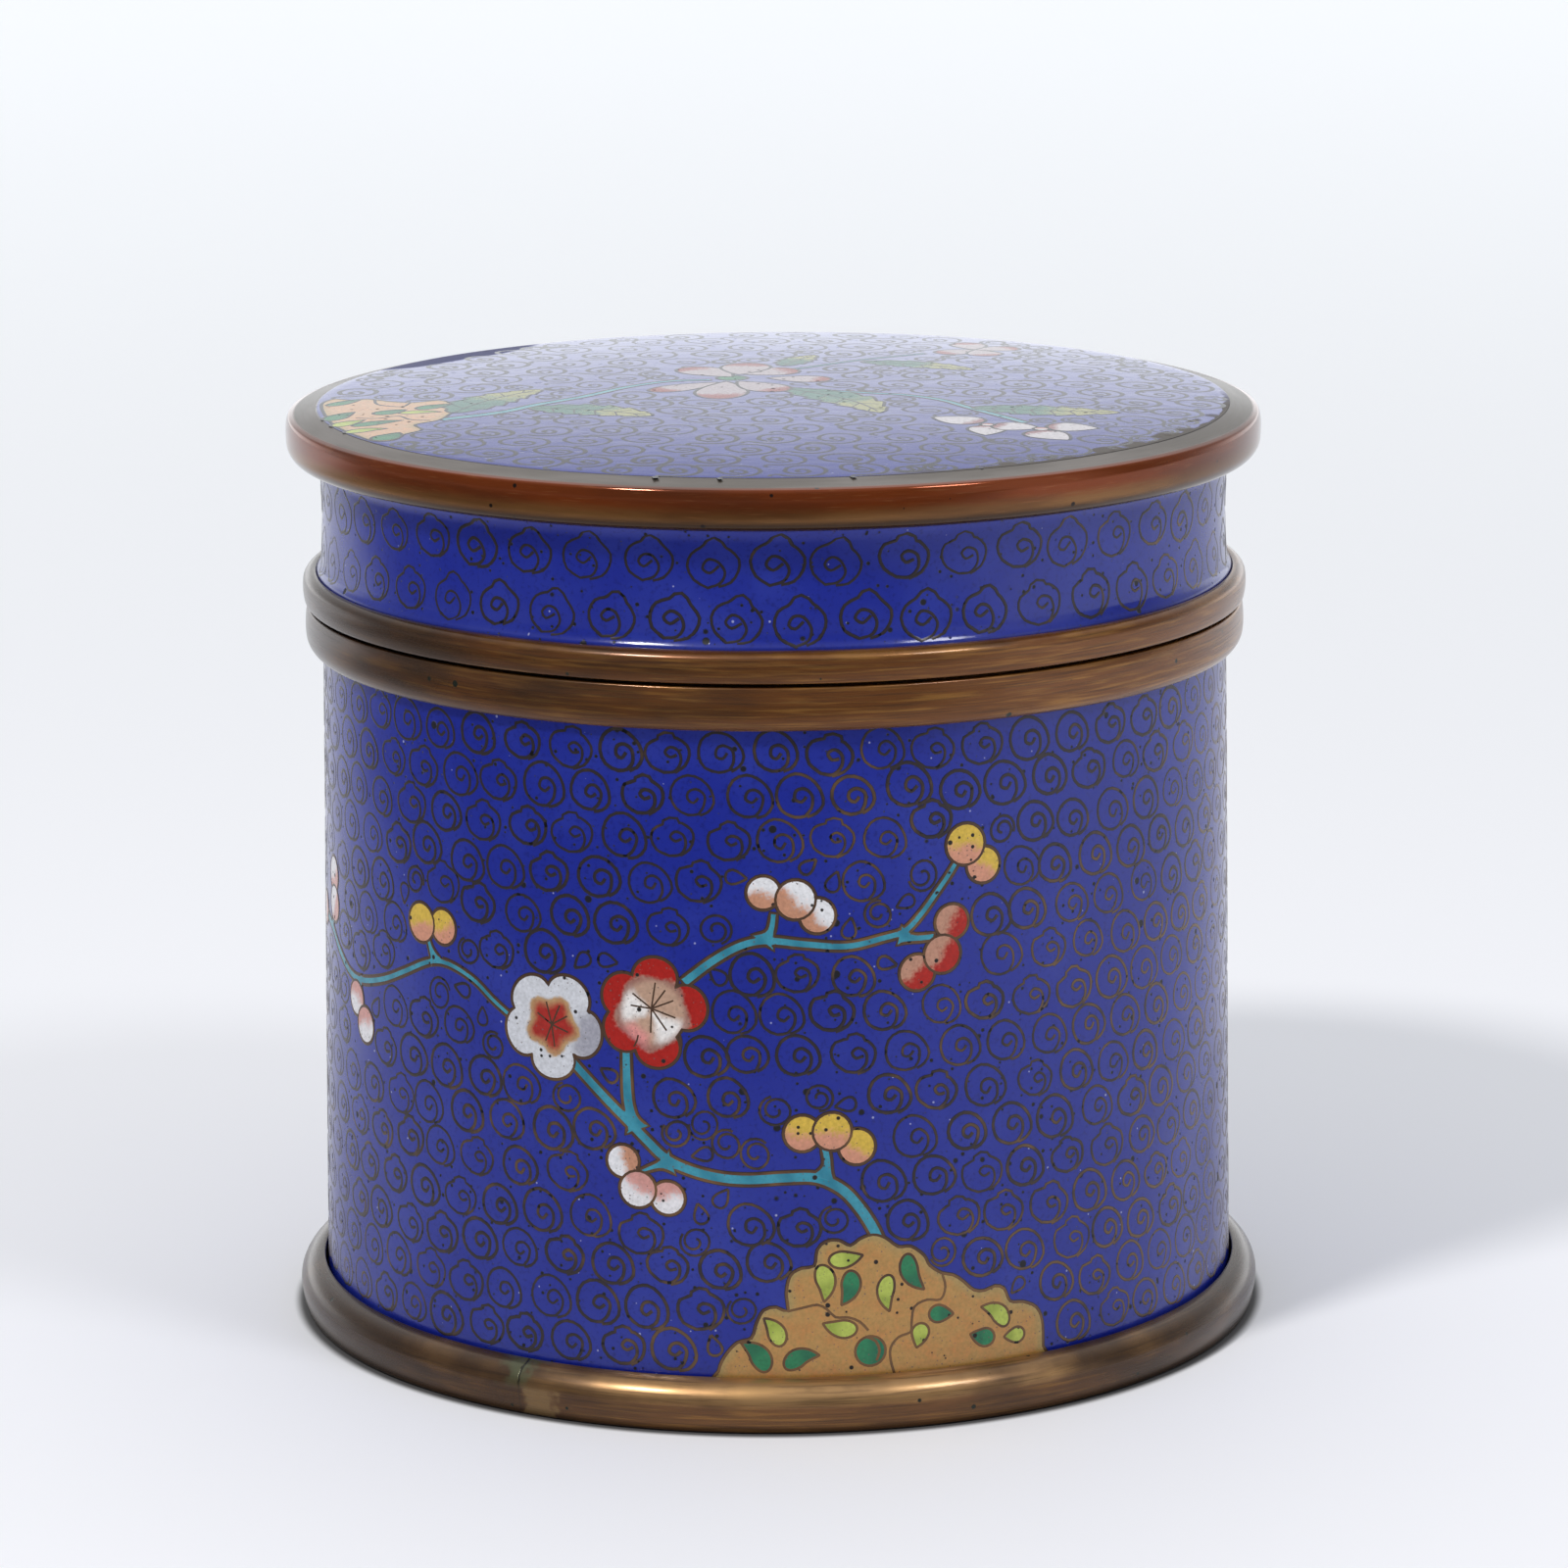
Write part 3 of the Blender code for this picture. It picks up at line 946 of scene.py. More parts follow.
@dataclass(frozen=True)
class WireStock:
    """Bronze wire, swept along flat paths by Geometry Nodes.

    Its ridge rises above the enamel and its edges sink below it, in mm.
    """

    metal: Material
    width: float = 0.42
    rise: float = 0.03
    sink: float = 0.01

    def nodes(self, scattered: bool) -> bpy.types.NodeTree:
        """Builds the node tree.

        Args:
            scattered: whether the paths are scroll shapes placed on points, or are given.

        Returns:
            The tree, with named inputs for the wire's sizes.
        """
        group = bpy.data.node_groups.new("wire_sweep", "GeometryNodeTree")
        inputs = {"Geometry": "Geometry", "Wire Width": "Float", "Wire Rise": "Float",
                  "Wire Sink": "Float", "Metal": "Material", "Shapes": "Collection"}
        for name, kind in inputs.items():
            group.interface.new_socket(name, in_out="INPUT", socket_type=f"NodeSocket{kind}")
        group.interface.new_socket("Geometry", in_out="OUTPUT", socket_type="NodeSocketGeometry")
        tree = NodeTree(group)
        paths, width, rise, sink, metal, shapes = (
            tree.node("NodeGroupInput", out=name) for name in inputs)

        def read(name: str, kind: str = "FLOAT") -> Sock:
            """Reads an attribute of the paths."""
            return tree.node(
                "GeometryNodeInputNamedAttribute", {"data_type": kind}, {"Name": name}, "Attribute")

        if scattered:
            turn = tree.node("ShaderNodeCombineXYZ", sockets={"Z": read("turn")})
            shapes = tree.node("GeometryNodeCollectionInfo", sockets={
                "Collection": shapes, "Separate Children": True, "Reset Children": True})
            placed = tree.node("GeometryNodeInstanceOnPoints", sockets={
                "Points": paths, "Instance": shapes, "Pick Instance": True,
                "Instance Index": read("shape", "INT"), "Rotation": turn, "Scale": read("size")})
            paths = tree.node("GeometryNodeRealizeInstances", sockets={"Geometry": placed})
        curves = tree.node("GeometryNodeMeshToCurve", sockets={"Mesh": paths})
        level = tree.node("GeometryNodeSetCurveNormal", {"mode": "Z_UP"}, {"Curve": curves})
        ridge = tree.node("GeometryNodeCurveArc", {"mode": "RADIUS"}, {
            "Resolution": 3, "Radius": 1.0, "Start Angle": math.pi, "Sweep Angle": math.pi})
        across = tree.node("GeometryNodeSplineParameter", out="Factor")
        marked = tree.node(
            "GeometryNodeStoreNamedAttribute", {"data_type": "FLOAT", "domain": "POINT"},
            {"Geometry": ridge, "Name": "across", "Value": across})
        scale = tree.node("ShaderNodeCombineXYZ", sockets={"X": width * 0.5, "Y": rise + sink, "Z": 1.0})
        shift = tree.node("ShaderNodeCombineXYZ", sockets={"Y": sink})
        profile = tree.node("GeometryNodeTransform", sockets={
            "Geometry": marked, "Scale": scale, "Translation": shift})
        swept = tree.node("GeometryNodeCurveToMesh", sockets={
            "Curve": level, "Profile Curve": profile, "Scale": read("weight")})
        real = tree.node("GeometryNodeRealizeInstances", sockets={"Geometry": swept})
        dressed = tree.node("GeometryNodeSetMaterial", sockets={"Geometry": real, "Material": metal})
        tree.node("NodeGroupOutput", sockets={"Geometry": dressed})
        return group

    def sweep(self, source: Mesh, shapes: bpy.types.Collection | None = None) -> Mesh:
        """Sweeps the wire.

        Args:
            source: a mesh of edges to follow, or of points where shapes are placed.
            shapes: the scroll shapes, or None for a mesh of edges.

        Returns:
            The wires as a flat mesh, in mm.
        """
        maker = put("wire_maker", source)
        group = self.nodes(shapes is not None)
        modifier = maker.modifiers.new("wires", "NODES")
        modifier.node_group = group
        wanted = {"Wire Width": self.width, "Wire Rise": self.rise, "Wire Sink": self.sink,
                  "Metal": self.metal, "Shapes": shapes}
        for socket in group.interface.items_tree:
            if socket.in_out == "INPUT" and wanted.get(socket.name) is not None:
                modifier[socket.identifier] = wanted[socket.name]
        graph = bpy.context.evaluated_depsgraph_get()
        made = bpy.data.meshes.new_from_object(
            maker.evaluated_get(graph), preserve_all_data_layers=True, depsgraph=graph)
        maker.modifiers.clear()
        bpy.data.objects.remove(maker, do_unlink=True)
        bpy.data.node_groups.remove(group)
        return made


def chain(first: int, count: int) -> list[Edge]:
    """Joins a number of points in a row, from the index of the first."""
    return [(index, index + 1) for index in range(first, first + count - 1)]


def path_mesh(name: str, points: Sequence[Point], edges: Sequence[Edge],
              **marks: Sequence[float]) -> Mesh:
    """Makes a flat mesh for the wires to follow.

    Args:
        name: its name.
        points: its points, in mm.
        edges: the pairs of points that are joined.
        **marks: attributes of the points, each with a number or a whole number for every point.

    Returns:
        The mesh.
    """
    mesh = bpy.data.meshes.new(name)
    mesh.from_pydata([(*point, 0.0) for point in points], edges, [])
    for key, values in marks.items():
        kind = "INT" if isinstance(values[0], int) else "FLOAT"
        mesh.attributes.new(key, kind, "POINT").data.foreach_set("value", values)
    return mesh


def wrap(mesh: Mesh, surface: Surface) -> Mesh:
    """Wraps a flat mesh on a surface.

    Args:
        mesh: the flat mesh, in mm.
        surface: what it is wrapped on.

    Returns:
        The same mesh, in metres.
    """
    flat = np.zeros(len(mesh.vertices) * 3, np.float32)
    mesh.vertices.foreach_get("co", flat)
    placed = surface.place(flat.reshape(-1, 3).astype(float))
    mesh.vertices.foreach_set("co", placed.astype(np.float32).ravel())
    mesh.update()
    mesh.shade_smooth()
    return mesh


# Inlays


@dataclass
class Paint:
    """The two colours of an inlay's points, and how they blend."""

    ground: np.ndarray
    blush: np.ndarray
    blend: np.ndarray


def two_tone(ground: Tint, blush: Tint, blend: np.ndarray) -> Paint:
    """Paints every point with the same two colours and its own blend."""
    rows = np.ones((len(blend), 1))
    return Paint(rows * linear(ground), rows * linear(blush), blend)


def tinge(colours: np.ndarray, tint: Tint, share: np.ndarray) -> None:
    """Moves colours towards a tint, each by its own share."""
    colours += np.clip(share, 0, 1)[:, None] * (linear(tint) - colours)


@dataclass(frozen=True)
class Cell:
    """A part of the flat drawing that holds one enamel colour or blend.

    A cell with a higher level lies in front, and no wire runs between cells of one group.
    """

    outline: list[Point]
    level: int
    group: str
    paint: Callable[[np.ndarray], Paint]

    def anticlockwise(self) -> Cell:
        """Gives the cell with its outline anticlockwise."""
        x, y = np.array(self.outline).T
        area = float(x @ np.roll(y, -1) - y @ np.roll(x, -1))
        return self if area > 0 else replace(self, outline=self.outline[::-1])


@dataclass(frozen=True)
class Line:
    """A wire that doesn't bound a cell, such as a stamen or a vein. Its weight scales its width."""

    points: list[Point]
    weight: float = 0.8


class Motif:
    """A part of the pattern."""

    def cells(self) -> list[Cell]:
        """Gives its cells."""
        return []

    def lines(self) -> list[Line]:
        """Gives its lines."""
        return []


class Bloom(Enum):
    """The colours of a bud: the main one and the blush that runs into it."""

    WHITE = ((224, 224, 228), (190, 136, 108))
    ROSE = ((224, 222, 226), (202, 146, 138))
    RED = ((166, 22, 8), (182, 134, 112))
    YELLOW = ((208, 174, 66), (204, 142, 116))
    JADE = ((38, 124, 84), (30, 106, 76))


@dataclass(frozen=True)
class Bud(Motif):
    """A round bud. Its blush comes in from the side that its turn points to, in degrees."""

    place: Point
    radius: float
    bloom: Bloom
    blush_turn: float
    level: int

    def cells(self) -> list[Cell]:
        """Gives the bud's one cell."""
        outline = ring(self.place, (self.radius, self.radius), 22)
        return [Cell(outline, self.level, f"bud{self.place}", self.paint)]

    def paint(self, points: np.ndarray) -> Paint:
        """Colours the bud's points."""
        turn = math.radians(self.blush_turn)
        towards = np.array([math.cos(turn), math.sin(turn)])
        reach = (points - np.array(self.place)) @ towards / self.radius
        return two_tone(*self.bloom.value, smooth(reach, -0.9, 1.0))


@dataclass(frozen=True)
class Blossom(Motif):
    """An open prunus flower with five petals, in one cell.

    It is red outside, or white with a red heart. Lengths are in mm, turns are in degrees, and the
    stamens' ends and the notches between petals are given from the flower's middle.

    Attributes:
        pale: the directions in which a red flower turns white and a white one grey.
        petal: the half length and half width of a petal.
        reach: how far the petals' middles are from the flower's.
        heart: the radius of the round middle.
    """

    place: Point
    petal_turns: tuple[float, ...]
    red: bool
    stamens: tuple[Point, ...]
    stamen_start: Point = (0.0, 0.0)
    notches: tuple[tuple[Point, ...], ...] = ()
    pale: tuple[float, ...] = ()
    petal: Point = (2.0, 2.4)
    reach: float = 3.45
    heart: float = 3.3
    level: int = 30

    def cells(self) -> list[Cell]:
        """Gives the heart and the petals, all in one group."""
        outlines = [ring(self.place, (self.heart, self.heart), 24)]
        for turn in self.petal_turns:
            way = math.radians(turn)
            ahead = np.array([math.cos(way), math.sin(way)])
            side = np.array([-ahead[1], ahead[0]])
            middle = np.array(self.place) + ahead * self.reach
            outlines.append([tuple(middle + ahead * x + side * y) for x, y in ring((0, 0), self.petal, 30)])
        return [Cell(outline, self.level, f"blossom{self.place}", self.paint) for outline in outlines]

    def lines(self) -> list[Line]:
        """Gives the stamens and the notches."""
        stamens = [((self.stamen_start, end), 0.5) for end in self.stamens]
        x, y = self.place
        return [Line(spline([(x + a, y + b) for a, b in path], spacing))
                for path, spacing in (*stamens, *((notch, 0.4) for notch in self.notches))]

    def paint(self, points: np.ndarray) -> Paint:
        """Colours the flower's points."""
        x, y = (points - np.array(self.place)).T
        distance, angle = np.hypot(x, y), np.arctan2(y, x)
        lobes = np.cos(5 * (angle - math.radians(self.petal_turns[0])))
        pale = sum(smooth(np.cos(angle - math.radians(turn)), 0.72, 0.95) for turn in self.pale)
        if self.red:
            paint = two_tone((166, 18, 6), (184, 150, 128), smooth(distance + 0.25 * lobes, 4.3, 3.0))
            lower_left = smooth(np.cos(angle + 2.2), 0.8, 0.98) * smooth(distance, 1.6, 2.6)
            tinge(paint.blush, (232, 228, 226), smooth(distance, 3.7, 2.7) * pale)
            tinge(paint.blush, (216, 140, 136), lower_left)
            tinge(paint.blush, (128, 66, 66), smooth(np.abs(distance - 3.6), 0.8, 0.0) * 0.7)
        else:
            paint = two_tone((204, 206, 213), (176, 142, 100), smooth(distance - 0.3 * lobes, 3.4, 2.3))
            tinge(paint.blush, (162, 34, 26), smooth(distance - 0.35 * lobes, 2.6, 1.8))
            tinge(paint.ground, (132, 130, 146), smooth(distance, 2.4, 3.4) * pale * 0.7)
        return paint


@dataclass(frozen=True)
class Branch(Motif):
    """A turquoise branch that grows along a line from its root, in mm.

    Its half width is given for both ends, and each side flares at a root on another branch.
    """

    line: tuple[Point, ...]
    widths: Point
    flare: float = 0.0
    tone: tuple[Tint, Tint] = ((56, 144, 166), (34, 118, 142))
    spacing: float = 0.4
    flare_length: float = 1.8
    level: int = 10

    def cells(self) -> list[Cell]:
        """Gives the branch's one cell."""
        line = spline(self.line, self.spacing)
        along = np.arange(len(line)) * self.spacing
        widths = np.linspace(*self.widths, len(line))
        widths += self.flare * np.clip(1 - along / self.flare_length, 0, 1) ** 2
        return [Cell(ribbon(line, widths), self.level, "branch", self.paint)]

    def paint(self, points: np.ndarray) -> Paint:
        """Colours the branch's points."""
        return two_tone(*self.tone, 0.4 + 0.2 * np.sin(points[:, 0] * 1.7 + points[:, 1]))


class LeafTone(Enum):
    """The colours of a leaf or a petal from its round end, and where the second starts and ends."""

    LIME = ((176, 190, 84), (150, 166, 66), 0.0, 1.0)
    GREEN = ((38, 124, 82), (30, 106, 74), 0.0, 1.0)
    TEAL = ((66, 118, 106), (158, 157, 106), 0.15, 1.0)
    RIMMED = ((146, 62, 62), (178, 166, 172), -0.05, 0.55)
    HEARTED = ((146, 92, 98), (204, 198, 203), -0.1, 0.5)


@dataclass(frozen=True)
class Leaf(Motif):
    """A leaf, or a petal in a cell of its own, from its rounded base to its pointed tip, in mm.

    Attributes:
        width: its half width.
        bend: how far its middle line leans to the left.
        teeth: how many teeth each side has.
        widest: the share of the length at which a leaf without teeth is widest.
    """

    base: Point
    tip: Point
    width: float
    tone: LeafTone
    bend: float = 0.0
    teeth: int = 0
    widest: float = 0.38
    level: int = 45

    def middle(self) -> tuple[np.ndarray, np.ndarray, np.ndarray]:
        """Gives the middle line's points, their shares of its length, and its side direction."""
        base, tip = np.array(self.base), np.array(self.tip)
        along = tip - base
        side = np.array([-along[1], along[0]]) / float(np.linalg.norm(along))
        shares = np.linspace(0, 1, 19 + 5 * self.teeth)
        if not self.teeth:
            shares = 0.5 - 0.5 * np.cos(shares * math.pi)
        line = base + shares[:, None] * along + (np.sin(shares * math.pi) * self.bend)[:, None] * side
        return line, shares, side

    def widths(self, shares: np.ndarray) -> np.ndarray:
        """Gives the half width at shares of the length."""
        if self.teeth:
            swell = np.sin(shares ** 0.85 * math.pi) ** 0.7
            return self.width * swell * (1 - 0.3 * (shares * self.teeth % 1.0) * (shares < 0.9))
        round_end = np.sqrt(np.clip(1 - (1 - shares / self.widest) ** 2, 0, 1))
        narrowing = (1 - np.clip((shares - self.widest) / (1.0001 - self.widest), 0, 1) ** 1.6) ** 0.9
        return self.width * np.where(shares > self.widest, narrowing, round_end)

    def cells(self) -> list[Cell]:
        """Gives the leaf's one cell."""
        line, shares, _ = self.middle()
        outline = ribbon(line, self.widths(shares).clip(0.02))
        return [Cell(outline, self.level, f"leaf{self.base}", self.paint)]

    def lines(self) -> list[Line]:
        """Gives the veins of a toothed leaf."""
        if not self.teeth:
            return []
        line, shares, side = self.middle()
        made = [Line([tuple(p) for p in line[1:-3]], 0.8)]
        step = len(line) // self.teeth
        for index in range(step, len(line) - step, step):
            ahead = min(index + step // 2, len(line) - 1)
            for sign in (-0.8, 0.8):
                end = line[ahead] + side * sign * self.widths(shares[ahead:ahead + 1])[0]
                made.append(Line([tuple(line[index]), tuple(end)], 0.7))
        return made

    def paint(self, points: np.ndarray) -> Paint:
        """Colours the leaf's points."""
        base, tip = np.array(self.base), np.array(self.tip)
        share = (points - base) @ (tip - base) / float((tip - base) @ (tip - base))
        first, second, start, end = self.tone.value
        return two_tone(first, second, smooth(share, start, end))


def grow(tone: LeafTone, *shapes: tuple) -> list[Motif]:
    """Makes leaves of one tone from their bases, tips, half widths and, where set, bends and teeth."""
    return [Leaf(base, tip, width, tone, *rest) for base, tip, width, *rest in shapes]


def cluster(bloom: Bloom, *shapes: tuple[float, float, float, float, int]) -> list[Motif]:
    """Makes buds of one bloom from their places, radii, blush turns and levels."""
    return [Bud((x, y), radius, bloom, turn, level) for x, y, radius, turn, level in shapes]


@dataclass(frozen=True)
class Rock(Motif):
    """A scalloped garden rock with folds, and green at its edge."""

    outline: tuple[Point, ...]
    folds: tuple[tuple[Point, ...], ...]
    tones: tuple[Tint, Tint] = ((178, 138, 78), (182, 124, 68))
    green: Tint = (150, 146, 96)
    level: int = 40

    def edge(self) -> list[Point]:
        """Gives the rock's smooth edge."""
        return spline(self.outline, 0.5, closed=True)

    def cells(self) -> list[Cell]:
        """Gives the rock's one cell."""
        return [Cell(self.edge(), self.level, f"rock{self.outline[0]}", self.paint)]

    def lines(self) -> list[Line]:
        """Gives the folds."""
        return [Line(spline(fold, 0.5), 1.0) for fold in self.folds]

    def paint(self, points: np.ndarray) -> Paint:
        """Colours the rock's points."""
        edge = search_tree(self.edge())
        depth = np.array([edge.find((x, y, 0.0))[2] for x, y in points])
        paint = two_tone(*self.tones, np.full(len(points), 0.42))
        for colours in (paint.ground, paint.blush):
            tinge(colours, self.green, smooth(depth, 1.1, 0.1) * 0.55)
        return paint


@dataclass
class InlaySheet:
    """The cells of one drawing, cut up and coloured, and lifted a little above the ground, in mm."""

    motifs: list[Motif]
    spacing: float = 0.5
    lift: float = 0.03

    def __post_init__(self) -> None:
        """Divides the drawing into triangles, each owned by the cell in front."""
        self.made = [cell.anticlockwise() for motif in self.motifs for cell in motif.cells()]
        corners: list[Vector] = []
        rings: list[list[int]] = []
        for cell in self.made:
            rings.append(list(range(len(corners), len(corners) + len(cell.outline))))
            corners += [Vector(p) for p in cell.outline]
        corners += [Vector(p) for p in self.grid()]
        verts, _, faces, _, _, origins = delaunay_2d_cdt(corners, [], rings, 0, 1e-5, True)
        self.points = np.array([tuple(v) for v in verts])
        self.triangles = [
            (tuple(face), max(origin, key=lambda index: (self.made[index].level, index)))
            for face, origin in zip(faces, origins) if origin]

    def grid(self) -> list[Point]:
        """Gives points inside the cells, in staggered rows."""
        near = search_tree([p for cell in self.made for p in cell.outline])
        made: set[Point] = set()
        for cell in self.made:
            outline = np.array(cell.outline)
            low, high = np.ceil(outline.min(0) / self.spacing), np.floor(outline.max(0) / self.spacing)
            for row in range(int(low[1]), int(high[1]) + 1):
                for column in range(int(low[0]), int(high[0]) + 1):
                    spot = ((column + 0.5 * (row % 2)) * self.spacing, row * self.spacing)
                    if near.find((*spot, 0.0))[2] > 0.4 * self.spacing:
                        made.add(spot)
        return sorted(made)

    def obstacles(self) -> np.ndarray:
        """Gives the flat points that the ground's scrolls stay clear of."""
        return self.points[sorted({index for corners, _ in self.triangles for index in corners})]

    def mesh(self, name: str) -> Mesh:
        """Makes the flat inlay mesh, with its colours as attributes.

        Args:
            name: the mesh's name.

        Returns:
            The mesh, in mm.
        """
        index: dict[Edge, int] = {}
        for corners, owner in self.triangles:
            for corner in corners:
                index.setdefault((corner, owner), len(index))
        faces = [tuple(index[corner, owner] for corner in corners) for corners, owner in self.triangles]
        corner, owners = np.array(list(index)).T
        flat = self.points[corner]
        ground, blush, blend = np.ones((len(flat), 4)), np.ones((len(flat), 4)), np.zeros(len(flat))
        for owner in sorted(set(owners.tolist())):
            mine = owners == owner
            paint = self.made[owner].paint(flat[mine])
            ground[mine, :3], blush[mine, :3], blend[mine] = paint.ground, paint.blush, paint.blend
        mesh = bpy.data.meshes.new(name)
        mesh.from_pydata(np.column_stack([flat, np.full(len(flat), self.lift)]).tolist(), [], faces)
        for key, values in (("ground", ground), ("blush", blush)):
            mesh.attributes.new(key, "FLOAT_COLOR", "POINT").data.foreach_set("color", values.ravel())
        mesh.attributes.new("blend", "FLOAT", "POINT").data.foreach_set("value", blend)
        return mesh

    def wire_paths(self, name: str) -> Mesh:
        """Makes the flat paths of the wires: the borders between groups, and the lines."""
        sides: dict[Edge, list[str]] = {}
        for (a, b, c), owner in self.triangles:
            for side in ((a, b), (b, c), (c, a)):
                sides.setdefault((min(side), max(side)), []).append(self.made[owner].group)
        borders = [edge for edge, groups in sides.items() if len(groups) < 2 or groups[0] != groups[1]]
        used = sorted({index for edge in borders for index in edge})
        order = {old: new for new, old in enumerate(used)}
        points = self.points[used].tolist()
        edges = [(order[start], order[end]) for start, end in borders]
        weights = [1.0] * len(points)
        for line in (line for motif in self.motifs for line in motif.lines()):
            edges += chain(len(points), len(line.points))
            points += line.points
            weights += [line.weight] * len(line.points)
        return path_mesh(name, points, edges, weight=weights)


# The ground's scrolls


@dataclass
class ScrollField:
    """Fills a flat field with rows of cloud scrolls, and the gaps with coils and drops.

    Lengths are in mm and turns in degrees.

    Attributes:
        inside: tells whether a scroll of a radius fits between the field's edges at a place.
        low: the field's lowest corner.
        high: its highest corner.
        pitch: how far apart the scrolls of a row are.
        rows: how far apart the rows are.
        turn: the usual turn of a scroll and how far it may differ.
        wrapped: the length after which the field repeats itself, or 0.
        blocked: the points that the scrolls keep their clearance from.
        fixed: fillers with a set place.
        nesting: how much of two scrolls' radii keeps them apart.
    """

    shapes: ScrollSet
    inside: Callable[[Point, float], bool]
    low: Point
    high: Point
    pitch: float
    rows: float
    seed: int
    turn: Point = (0.0, 12.0)
    wrapped: float = 0.0
    blocked: np.ndarray = field(default_factory=lambda: np.zeros((0, 2)))
    clearance: float = 0.32
    fixed: Sequence[Scroll] = ()
    fillers: bool = True
    size: float = 1.0
    nesting: float = 0.945

    def fill(self) -> list[Scroll]:
        """Places the scrolls and gives them."""
        self.chance = random.Random(self.seed)
        self.tree = search_tree(self.blocked) if len(self.blocked) else None
        self.made: list[Scroll] = []
        self.spots, self.reaches = np.zeros((0, 2)), np.zeros(0)
        for scroll in self.fixed:
            self.add(scroll)
        count = max(1, round((self.high[1] - self.low[1]) / self.rows))
        step = (self.high[1] - self.low[1]) / count
        for row in range(count + 1):
            self.fill_row(row, self.low[1] + row * step)
        if self.fillers:
            self.fill_gaps(ScrollKind.COIL, 0.1)
            self.fill_gaps(ScrollKind.DROP, 0.6)
        return self.made

    def fill_row(self, row: int, height: float) -> None:
        """Places one row of cloud scrolls.

        Args:
            row: the row's number from below.
            height: its height on the drawing.
        """
        chance = self.chance
        length = self.high[0] - self.low[0]
        count = round(length / self.pitch)
        shift = 0.5 * (row % 2) + chance.uniform(-0.12, 0.12)
        for column in range(count + (not self.wrapped)):
            x = self.low[0] + (column + shift) * length / count
            wanted = (x + chance.uniform(-0.3, 0.3), height + chance.uniform(-0.22, 0.22))
            size = self.size * chance.uniform(0.93, 1.04)
            turn = self.turn[0] + chance.uniform(-self.turn[1], self.turn[1])
            weight = chance.uniform(0.8, 1.2)
            shape = self.shapes.pick(ScrollKind.CLOUD, chance)
            spot = self.settle(wanted, ScrollKind.CLOUD.value * size, 1.5, -0.12)
            if spot is not None:
                self.add(Scroll(spot, ScrollKind.CLOUD, turn, size, shape, weight))

    def fill_gaps(self, kind: ScrollKind, gap: float, step: float = 0.45) -> None:
        """Places fillers where they fit.

        Args:
            kind: the shape of the fillers.
            gap: the least gap to their neighbours.
            step: how far apart the places to try are.
        """
        for row in range(int((self.high[1] - self.low[1] + 4) / step)):
            for column in range(int((self.high[0] - self.low[0]) / step)):
                size = self.chance.uniform(0.86, 1.05)
                spot = (self.low[0] + column * step, self.low[1] - 2 + row * step)
                if self.fits(spot, kind.value * size, gap):
                    turn = self.chance.uniform(-180, 180)
                    weight = self.chance.uniform(0.75, 1.0)
                    self.add(Scroll(spot, kind, turn, size, self.shapes.pick(kind), weight))

    def add(self, scroll: Scroll) -> None:
        """Keeps a scroll and the room that it takes."""
        self.made.append(scroll)
        self.spots = np.vstack([self.spots, scroll.place])
        self.reaches = np.append(self.reaches, scroll.kind.value * scroll.size)

    def settle(self, wanted: Point, reach: float, slack: float, gap: float) -> Point | None:
        """Finds a free place near the wanted one.

        Args:
            wanted: the first place to try.
            reach: the scroll's radius.
            slack: how far it may move.
            gap: the least gap to its neighbours.

        Returns:
            The place, or None where there is none.
        """
        if self.fits(wanted, reach, gap):
            return wanted
        for distance in np.arange(0.3, slack + 0.01, 0.3):
            for way in (math.radians(turn) for turn in range(0, 360, 30)):
                spot = (wanted[0] + distance * math.cos(way), wanted[1] + distance * math.sin(way))
                if self.fits(spot, reach, gap):
                    return spot
        return None

    def fits(self, spot: Point, reach: float, gap: float) -> bool:
        """Tells whether a scroll is clear of the field's edges, the motifs and its neighbours.

        Args:
            spot: its place.
            reach: its radius.
            gap: the least gap to its neighbours.

        Returns:
            Whether it fits.
        """
        if not self.inside(spot, reach):
            return False
        if self.tree and self.tree.find((*spot, 0.0))[2] < reach + self.clearance:
            return False
        across = np.abs(self.spots[:, 0] - spot[0])
        if self.wrapped:
            across = np.minimum(across, self.wrapped - across)
        distance = np.hypot(across, self.spots[:, 1] - spot[1])
        return bool(np.all(distance >= (self.reaches + reach) * self.nesting + gap))


# Pieces of the jar


class Palette:
    """The finishes of the jar."""

    def __init__(self) -> None:
        """Makes the materials."""
        self.ground = GroundEnamel("blue_ground_enamel").make()
        self.inlay = InlayEnamel("inlay_enamel").make()
        self.counter = GroundEnamel(
            "turquoise_counter_enamel", (70, 150, 160), (105, 176, 178), (60, 136, 148), 0.28).make()
        self.wire = WireBronze("wire_bronze").make()
        self.drawn_wire = WireBronze(
            "drawn_wire_bronze", (122, 90, 60), (84, 62, 48), (44, 34, 38)).make()
        self.flush_wire = WireBronze(
            "flush_wire_bronze", (60, 56, 54), (52, 50, 53), (42, 42, 56), metal=0.0, gloss=0.2,
            shine=0.19).make()
        self.foot_brass = AgedBrass("foot_brass", (118, 78, 42), seam=-31.0).make()
        self.brass = AgedBrass("aged_brass").make()
        self.inner_brass = AgedBrass("collar_brass", (150, 116, 70)).make()
        self.copper = PolishedCopper("polished_copper").make()


